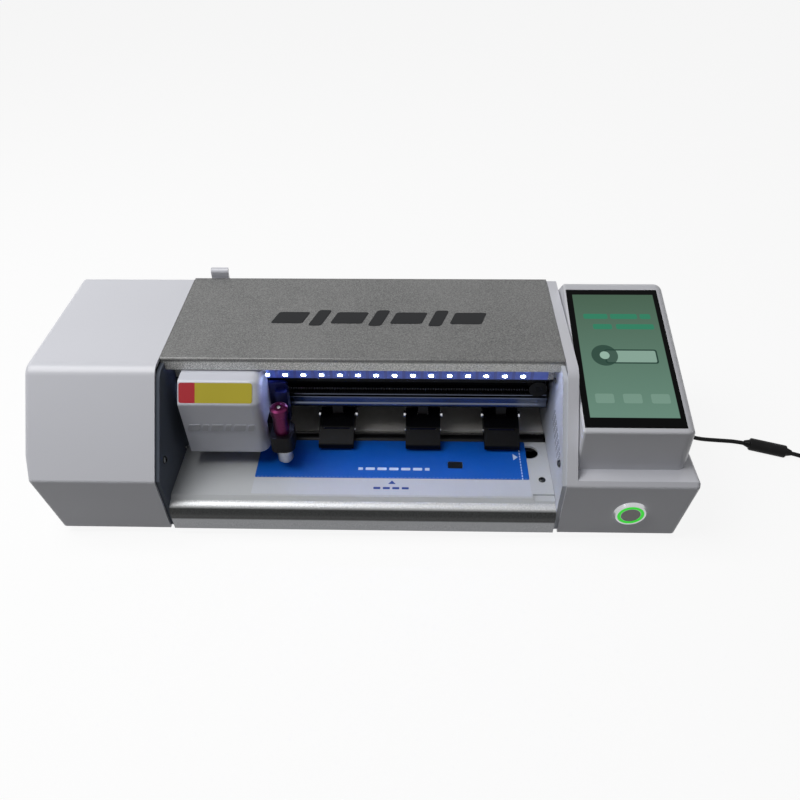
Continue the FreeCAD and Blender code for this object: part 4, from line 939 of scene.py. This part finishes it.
@dataclass
class Casing:
    """Housings, lid, trim, feet and the outside fasteners."""

    lid_top: float = 122.0
    mark_centre: Pair = (10.5, 24.3)
    mark_height: float = 21.0
    mark_slant: float = 0.32
    bar_widths: tuple[float, ...] = (24.0, 10.0, 24.0, 10.0, 24.0, 10.0, 24.0)
    bar_gap: float = 5.5
    wide_bar_share: float = 0.72
    label_lean: Pair = (0.958, 0.2868)

    def build(self) -> None:
        """Gives the casing's solids their finishes and adds its small pieces."""
        coat_nodes({
            "left_housing": "abs_white", "right_housing": "abs_white", "rear_panel": "abs_white",
            "top_cover": "blasted_lid", "front_trim": "blasted_trim",
            "left_side_plate": "plate_dark", "right_side_plate": "plate_pale",
            # The left side plate's coat is painted shade, a darker copy of the right plate's coat.
            "base_plate": "zinc_sheet", "rubber_feet": "foot_rubber",
            "front_platen": "platen_coat", "rear_platen": "rear_platen_coat",
            "placement_mat": "printed_mat", "edge_sensor": "satin_mark",
            "lift_lever": "abs_white",
        })
        self.lid_mark()
        self.screws()
        self.margin()
        self.label()

    def lid_mark(self) -> None:
        """Lays a row of slanted bars, wide and narrow by turns, flat on the lid."""
        facet = Facet((0.0, 0.0, self.lid_top), EAST, NORTH)
        seat = Seat("satin_mark", "machine", "cover_grey")
        total = sum(self.bar_widths) + self.bar_gap * (len(self.bar_widths) - 1)
        left = self.mark_centre[0] - total / 2
        bars = []
        for number, width in enumerate(self.bar_widths):
            shape = rounded_rectangle(width, self.mark_height, 2.2)
            if width > min(self.bar_widths):
                shape[:, 1] *= self.wide_bar_share
            shape[:, 0] += self.mark_slant * shape[:, 1]
            shape += (left + width / 2, self.mark_centre[1])
            bars.append(plaque(f"lid_bar_{number}", facet, shape, 0.25, 0.08, seat))
            left += width + self.bar_gap
        Piece.join("lid_bars", bars, seat)

    def screws(self) -> None:
        """Puts the socket screws on the inner plates and the bed."""
        seat = Seat("black_screw", "machine", "steel")
        for name, centre, axis, radius, height in (
            ("plate_screw_left", (-PLATE_X, -71.4, 63.5), EAST, 2.8, 1.6),
            ("plate_screw_left_low", (-PLATE_X, -30.0, 36.8), EAST, 1.3, 1.6),
            ("plate_screw_right", (PLATE_X, -71.6, 63.8), WEST, 2.8, 1.6),
            ("plate_screw_right_high", (PLATE_X, -19.9, 97.6), WEST, 2.2, 1.6),
            ("bed_screw", (133.3, -59.0, PLATEN_TOP), UP, 2.6, 1.2),
        ):
            socket_screw(name, centre, axis, radius, height, seat)

    def label(self) -> None:
        """Lays the blank label on the right inner plate."""
        cosine, sine = self.label_lean
        facet = Facet((PLATE_X, -47.9, 67.9), (0.0, -cosine, -sine), (0.0, -sine, cosine))
        seat = Seat("blank_label", "machine", "plate_pale")
        plaque("plate_label", facet, rounded_rectangle(38.0, 14.0, 1.0), 0.12, 0.04, seat)

    def margin(self) -> None:
        """Lays the pale printed strip in front of the mat."""
        facet = Facet((21.0, -67.6, PLATEN_TOP), EAST, NORTH)
        seat = Seat("printed_margin", "machine", "platen_grey")
        plaque("printed_strip", facet, rounded_rectangle(206.0, 16.6, 0.8), 0.06, 0.02, seat)


@dataclass
class Console:
    """Console housing, display and illuminated power button."""

    button: Pair = (193.0, 31.0)
    face: Pair = (-90.0, 59.0)
    undercut_deg: float = 4.4
    ring_radii: Pair = (7.05, 9.5)
    bezel_height: float = 2.2

    def build(self) -> None:
        """Gives the console's solids their finishes and adds the lit ring."""
        coat_nodes({
            "console_housing": "abs_console", "display_glass": "touch_screen",
            "display_panel": "satin_mark", "power_button_bezel": "bright_chrome",
            "power_button_cap": "cap_satin", "control_board": "circuit_board",
            "dc_jack": "clamp_black",
        })
        self.light_ring()

    def light_ring(self) -> None:
        """Makes the button's lit ring.

        It lies on the bezel: a low dome between two radii, turned about the button's axis.
        """
        lean = math.radians(self.undercut_deg)
        x, z = self.button
        face_y, face_top = self.face
        centre = np.array((x, face_y + (face_top - z) * math.tan(lean), z))
        out = np.array((0.0, -math.cos(lean), -math.sin(lean)))
        inner, outer = self.ring_radii
        level, middle, half = self.bezel_height, (inner + outer) / 2, (outer - inner) / 2
        dome = np.linspace(0.0, math.pi, 9)
        heights = np.concatenate(([level - 0.3], level + 0.35 * np.sin(dome), [level - 0.3]))
        radii = np.concatenate(([outer], middle + half * np.cos(dome), [inner]))
        turns = np.linspace(0.0, 2 * math.pi, 72, endpoint=False)
        circle = circle_about(out, np.array(EAST), turns)
        rings = (
            centre + heights[None, :, None] * out + radii[None, :, None] * circle[:, None, :]
        )
        seat = Seat("green_ring", "machine", "button_ring")
        Piece.from_rings("button_light_ring", rings, seat, closed_path=True)


@dataclass
class Drive:
    """Beam, rail, belts, pulleys, feed drum, pinch arms and lift."""

    belt_y: float = -6.2
    belt_z: float = 81.4
    belt_ends: Pair = (-119.0, 131.0)
    belt_inner: float = 5.2
    belt_backing: float = 1.4
    belt_width: float = 6.0
    tooth_pitch: float = 2.0
    tooth_height: float = 0.7
    points_per_tooth: int = 8

    def build(self) -> None:
        """Gives the drive's solids their finishes and makes the toothed belt."""
        steel, dark = "turned_steel", "blackened_steel"
        wear = {
            "cross_beam": "black_beam", "carriage_rail": "ground_rail",
            "led_strip": "lamp_strip", "carriage_motor": "motor_black",
            "carriage_drive_pulley": dark, "carriage_idler_pulley": dark,
            "feed_motor": "motor_black", "feed_motor_pulley": steel, "feed_shaft": dark,
            "feed_driven_pulley": dark, "feed_bearings": steel, "feed_belt": "belt_rubber",
            "pinch_hangers": "coated_hanger", "pinch_springs": dark, "lift_shaft": steel,
        }
        for number in (1, 2, 3):
            wear[f"pinch_arm_{number}"] = "arm_black"
            wear[f"pinch_roller_{number}"] = "roller_rubber"
            wear[f"pinch_axle_{number}"] = steel
        coat_nodes(wear)
        self.toothed_belt()

    def toothed_belt(self) -> None:
        """Replaces the plain belt by a toothed one.

        The path is two straight runs and two half circles, and a distance along it gives the
        point and its inward normal. The belt's inner side lies the tooth wave inside the
        backing: a raised cosine of the distance over the pitch, clipped to a flat top.
        """
        left, right = self.belt_ends
        run = right - left
        radius = self.belt_inner + self.tooth_height
        bend = math.pi * radius
        length = 2 * run + 2 * bend
        teeth = round(length / self.tooth_pitch)
        distance = np.linspace(0.0, length, teeth * self.points_per_tooth, endpoint=False)
        turn_right = np.clip(distance - run, 0.0, bend) / radius
        turn_left = np.clip(distance - 2 * run - bend, 0.0, bend) / radius
        angle = math.pi / 2 - turn_right - turn_left
        top = np.clip(distance, 0.0, run)
        bottom = np.clip(distance - run - bend, 0.0, run)
        centre = left + top - bottom
        flat = np.zeros_like(centre)
        outward = np.stack((np.cos(angle), flat, np.sin(angle)), axis=-1)
        middle = np.stack((centre, flat + self.belt_y, flat + self.belt_z), axis=-1)
        wave = np.cos(distance / length * teeth * 2 * math.pi)
        tooth = self.tooth_height * np.clip(0.5 + 1.1 * wave, 0.0, 1.0)
        inner = middle + (radius - tooth)[:, None] * outward
        outer = middle + (self.belt_inner + self.belt_backing) * outward
        half = np.array((0.0, self.belt_width / 2, 0.0))
        rings = np.stack((inner + half, outer + half, outer - half, inner - half), axis=1)
        seat = Seat("belt_rubber", "machine", "belt_rubber")
        belt = Piece.from_rings("toothed_belt", rings, seat, closed_path=True)
        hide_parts("carriage_belt")


@dataclass
class Carriage:
    """Carriage, head cover and blade holder; places on the head's front are (y, z) pairs."""

    front_foot: Pair = (-47.3, 49.0)
    front_brow: Pair = (-50.7, 97.5)
    slope_top: Pair = (-40.0, 111.0)
    bars_up: float = 26.0
    bar_widths: Pair = (8.6, 4.2)
    bar_pitch: float = 8.4
    bar_count: int = 6
    adjuster_z: float = 90.0

    def build(self) -> None:
        """Gives the carriage's solids their finishes and adds its small pieces."""
        coat_nodes({
            "carriage_slider": "turned_steel", "carriage_bracket": "blue_anodised",
            "head_cover": "abs_head", "lift_coil": "coil_black", "blade_clamp": "clamp_black",
            "blade_barrel": "magenta_anodised", "blade_nose": "knurled_nose",
            "blade": "ground_carbide",
        })
        self.sticker()
        self.raised_bars()
        self.cap_screw()

    @staticmethod
    def face(x: float, low: Pair, high: Pair, up: float | None = None) -> Facet:
        """Gives the facet between two places, some way up from the low one or half way."""
        start, rise = np.array(low), np.array(high) - np.array(low)
        tall = np.linalg.norm(rise)
        middle = start + rise * (0.5 if up is None else up / tall)
        return Facet((x, *middle), EAST, (0.0, *(rise / tall)))

    def sticker(self) -> None:
        """Lays the blank two-colour sticker on the head cover's upper slope."""
        facet = self.face(-103.1, self.front_brow, self.slope_top)
        seat = Seat("blank_sticker", "carriage", "head_white")
        plaque("head_sticker", facet, rounded_rectangle(52.4, 14.4, 1.6), 0.12, 0.05, seat)

    def raised_bars(self) -> None:
        """Raises a row of small slanted bars on the head cover's front."""
        facet = self.face(-101.5, self.front_foot, self.front_brow, self.bars_up)
        seat = Seat("abs_head_mark", "carriage", "head_white")
        bars = []
        for number in range(self.bar_count):
            shape = rounded_rectangle(self.bar_widths[number % 2], 6.4, 0.8, 4)
            shift = (number - (self.bar_count - 1) / 2) * self.bar_pitch
            shape[:, 0] += 0.3 * shape[:, 1] + shift
            bars.append(plaque(f"head_bar_{number}", facet, shape, 0.7, 0.2, seat))
        Piece.join("head_bars", bars, seat)

    def cap_screw(self) -> None:
        """Puts the adjusting screw in the knife's cap."""
        seat = Seat("bright_chrome", "blade_holder", "nose_silver")
        socket_screw("knife_adjuster", (*BLADE_AXIS, self.adjuster_z), UP, 2.1, 1.9, seat)


@dataclass
class Lead:
    """Power lead with its bead, wound coil and wall adapter.

    The route's points are those of the solids, in metres; the coil's turns follow on from them.
    """

    diameter: float = 0.0035
    coil_middle: Pair = (0.396, -0.022)
    outer_turn: float = 0.0212
    turn_pitch: float = 0.0036
    layers: int = 4
    turns: float = 8.5
    points_per_turn: int = 16
    floor: float = 0.0018
    end: tuple[Point, Point] = ((0.4172, -0.010, 0.0126), (0.4172, 0.0005, 0.0126))

    route: tuple[Point, ...] = (
        (0.196, 0.1232, 0.022), (0.196, 0.140, 0.0195), (0.200, 0.156, 0.012),
        (0.210, 0.169, 0.0046), (0.225, 0.174, 0.0018), (0.241, 0.168, 0.0018),
        (0.252, 0.153, 0.0018), (0.257, 0.131, 0.0018), (0.258, 0.104, 0.0018),
        (0.255, 0.076, 0.0018), (0.255, 0.052, 0.0018), (0.261, 0.034, 0.0018),
        (0.276, 0.023, 0.0018), (0.296, 0.021, 0.0018), (0.311, 0.0158, 0.0053),
        (0.352, 0.0016, 0.0053), (0.3645, -0.0036, 0.0036), (0.3724, -0.0134, 0.0019),
    )

    def coil_points(self) -> list[Point]:
        """Gives the control points of the wound coil.

        The angle grows evenly from the side where the lead arrives. The radius goes in and out
        by one turn's pitch per turn, a triangle wave with one slope per layer, and the height
        steps up one pitch from layer to layer, smoothly over a quarter turn.

        Returns:
            Points in metres, ending at the side nearest the adapter.
        """
        count = int(self.turns * self.points_per_turn)
        angle = np.linspace(0.0, self.turns, count + 1)[1:]
        per_layer = self.turns / self.layers
        layer = np.minimum(angle / per_layer, self.layers - 1e-9)
        phase = layer % 2.0
        inward = np.where(phase < 1.0, phase, 2.0 - phase)
        radius = self.outer_turn - self.turn_pitch * per_layer * inward
        step = np.floor(layer) + np.clip((layer % 1.0 - 1.0) * per_layer / 0.25 + 1.0, 0.0, 1.0)
        height = self.floor + self.turn_pitch * np.minimum(step, self.layers - 1)
        turn = math.pi + angle * 2 * math.pi
        x = self.coil_middle[0] + radius * np.cos(turn)
        y = self.coil_middle[1] + radius * np.sin(turn)
        return list(zip(x.tolist(), y.tolist(), height.tolist()))

    def build(self) -> None:
        points = [*self.route, *self.coil_points(), *self.end]
        curve = bpy.data.curves.new("power_lead", "CURVE")
        curve.dimensions = "3D"
        spline = curve.splines.new("NURBS")
        spline.points.add(len(points) - 1)
        spline.points.foreach_set("co", np.array([(*p, 1.0) for p in points]).ravel())
        spline.order_u = 3
        spline.use_endpoint_u = True
        curve.resolution_u = 6
        curve.bevel_depth = self.diameter / 2
        curve.bevel_resolution = 4
        curve.use_fill_caps = True
        curve.materials.append(finish("cord_pvc"))
        lead = place_item("power_lead", curve)
        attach(lead, "machine")
        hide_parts("power_cable", "cable_coil")
        coat_nodes({
            "dc_plug": "cord_pvc", "ferrite_bead": "cord_pvc", "power_adapter": "adapter_case",
        })
        self.tie()

    def tie(self) -> None:
        """Wraps a flat band round the coil's turns.

        The band's section is a rounded rectangle in the plane of the radius and the height,
        carried across the coil's near side in straight line.
        """
        x, y = (1000 * value for value in self.coil_middle)
        outline = rounded_rectangle(13.4, 15.2, 3.0, 6) + (y - 17.4, 7.3)
        inner = rounded_rectangle(12.2, 14.0, 2.4, 6) + (y - 17.4, 7.3)
        rings = np.stack([
            np.stack((np.full(len(flat), x + offset), flat[:, 0], np.maximum(flat[:, 1], 0.05)), -1)
            for offset, flat in ((-2.5, outline), (2.5, outline), (2.5, inner), (-2.5, inner))
        ])
        seat = Seat("satin_mark", "machine", "cord_black")
        Piece.from_rings("coil_tie", rings, seat, closed_path=True)


# --- studio


@dataclass
class Studio:
    """Camera, plain light and pale floor."""

    position: Point = (0.04106, -0.44954, 0.43724)
    yaw_deg: float = -1.893
    pitch_deg: float = 39.887
    roll_deg: float = 0.760
    lens_mm: float = 33.54
    key_place: Point = (-0.5, -0.1, 1.05)
    key_aim: Point = (-0.05, 0.0, 0.05)
    key_size: float = 0.7
    key_watts: float = 9.5
    world_level: float = 0.13
    floor_albedo: float = 0.16
    floor_glow: float = 0.9
    floor_reach: float = 30.0

    def build(self) -> None:
        """Sets up the whole studio."""
        self.camera()
        self.light()
        self.floor()

    def camera(self) -> None:
        """Places the camera.

        Forward is the yawed Y axis tipped down by the pitch; right and down turn about it by the
        roll.
        """
        yaw, pitch, roll = (
            math.radians(a) for a in (self.yaw_deg, self.pitch_deg, self.roll_deg)
        )
        forward = np.array((
            math.sin(yaw) * math.cos(pitch), math.cos(yaw) * math.cos(pitch), -math.sin(pitch)
        ))
        level = np.array((math.cos(yaw), -math.sin(yaw), 0.0))
        down = np.cross(forward, level)
        right = math.cos(roll) * level + math.sin(roll) * down
        down = -math.sin(roll) * level + math.cos(roll) * down
        turn = Matrix(np.stack((right, -down, -forward), axis=-1).tolist())
        data = bpy.data.cameras.new("camera")
        data.lens = self.lens_mm
        data.sensor_width = 36.0
        data.clip_start = 0.01
        camera = place_item("camera", data)
        camera.matrix_world = Matrix.Translation(self.position) @ turn.to_4x4()
        bpy.context.scene.camera = camera

    def light(self) -> None:
        """Sets one soft square lamp and the world.

        The world is white for rays that show it and dim as a light.
        """
        data = bpy.data.lights.new("key", "AREA")
        data.shape = "SQUARE"
        data.size = self.key_size
        data.energy = self.key_watts
        towards = (Vector(self.key_aim) - Vector(self.key_place)).to_track_quat("-Z", "Y")
        turn = towards.to_matrix().to_4x4()
        place_item("key", data).matrix_world = Matrix.Translation(self.key_place) @ turn
        world = Shader("studio_world", world=True)
        inputs = {"Value": world.shown(), "To Min": self.world_level, "To Max": 1.0}
        strength = world.node("ShaderNodeMapRange", inputs=inputs).outputs[0]
        world.set("Color", WHITE).set("Strength", strength)
        bpy.context.scene.world = world.data
        bpy.context.scene.view_settings.view_transform = "Standard"

    def floor(self) -> None:
        """Lays the pale floor, which shines white for the camera but keeps the shadow."""
        shader = Shader("pale_floor")
        seen = shader.shown()
        grey = (self.floor_albedo,) * 3
        shader.look(shader.blend(seen, grey, WHITE), 0.9, 0.0, 0.0)
        glow = shader.node("ShaderNodeEmission", inputs={"Color": WHITE, "Strength": 1.0})
        inputs = {"Fac": seen * self.floor_glow, 1: shader.surface.outputs[0], 2: glow.outputs[0]}
        mix = shader.node("ShaderNodeMixShader", inputs=inputs)
        shader.feed(shader.tree.nodes["Material Output"].inputs["Surface"], mix.outputs[0])
        mesh = bpy.data.meshes.new("floor")
        corners = ((-1, -1), (1, -1), (1, 1), (-1, 1))
        points = [(x * self.floor_reach, y * self.floor_reach, 0.0) for x, y in corners]
        mesh.from_pydata(points, [], [(0, 1, 2, 3)])
        mesh.materials.append(shader.data)
        place_item("floor", mesh)


def main() -> None:
    """Builds and dresses the machine, then sets the studio."""
    logging.basicConfig(level=logging.INFO, format="%(name)s %(message)s")
    for assembly in (Casing(), Console(), Drive(), Carriage(), Lead()):
        assembly.build()
    Studio().build()


if __name__ == "__main__":
    main()
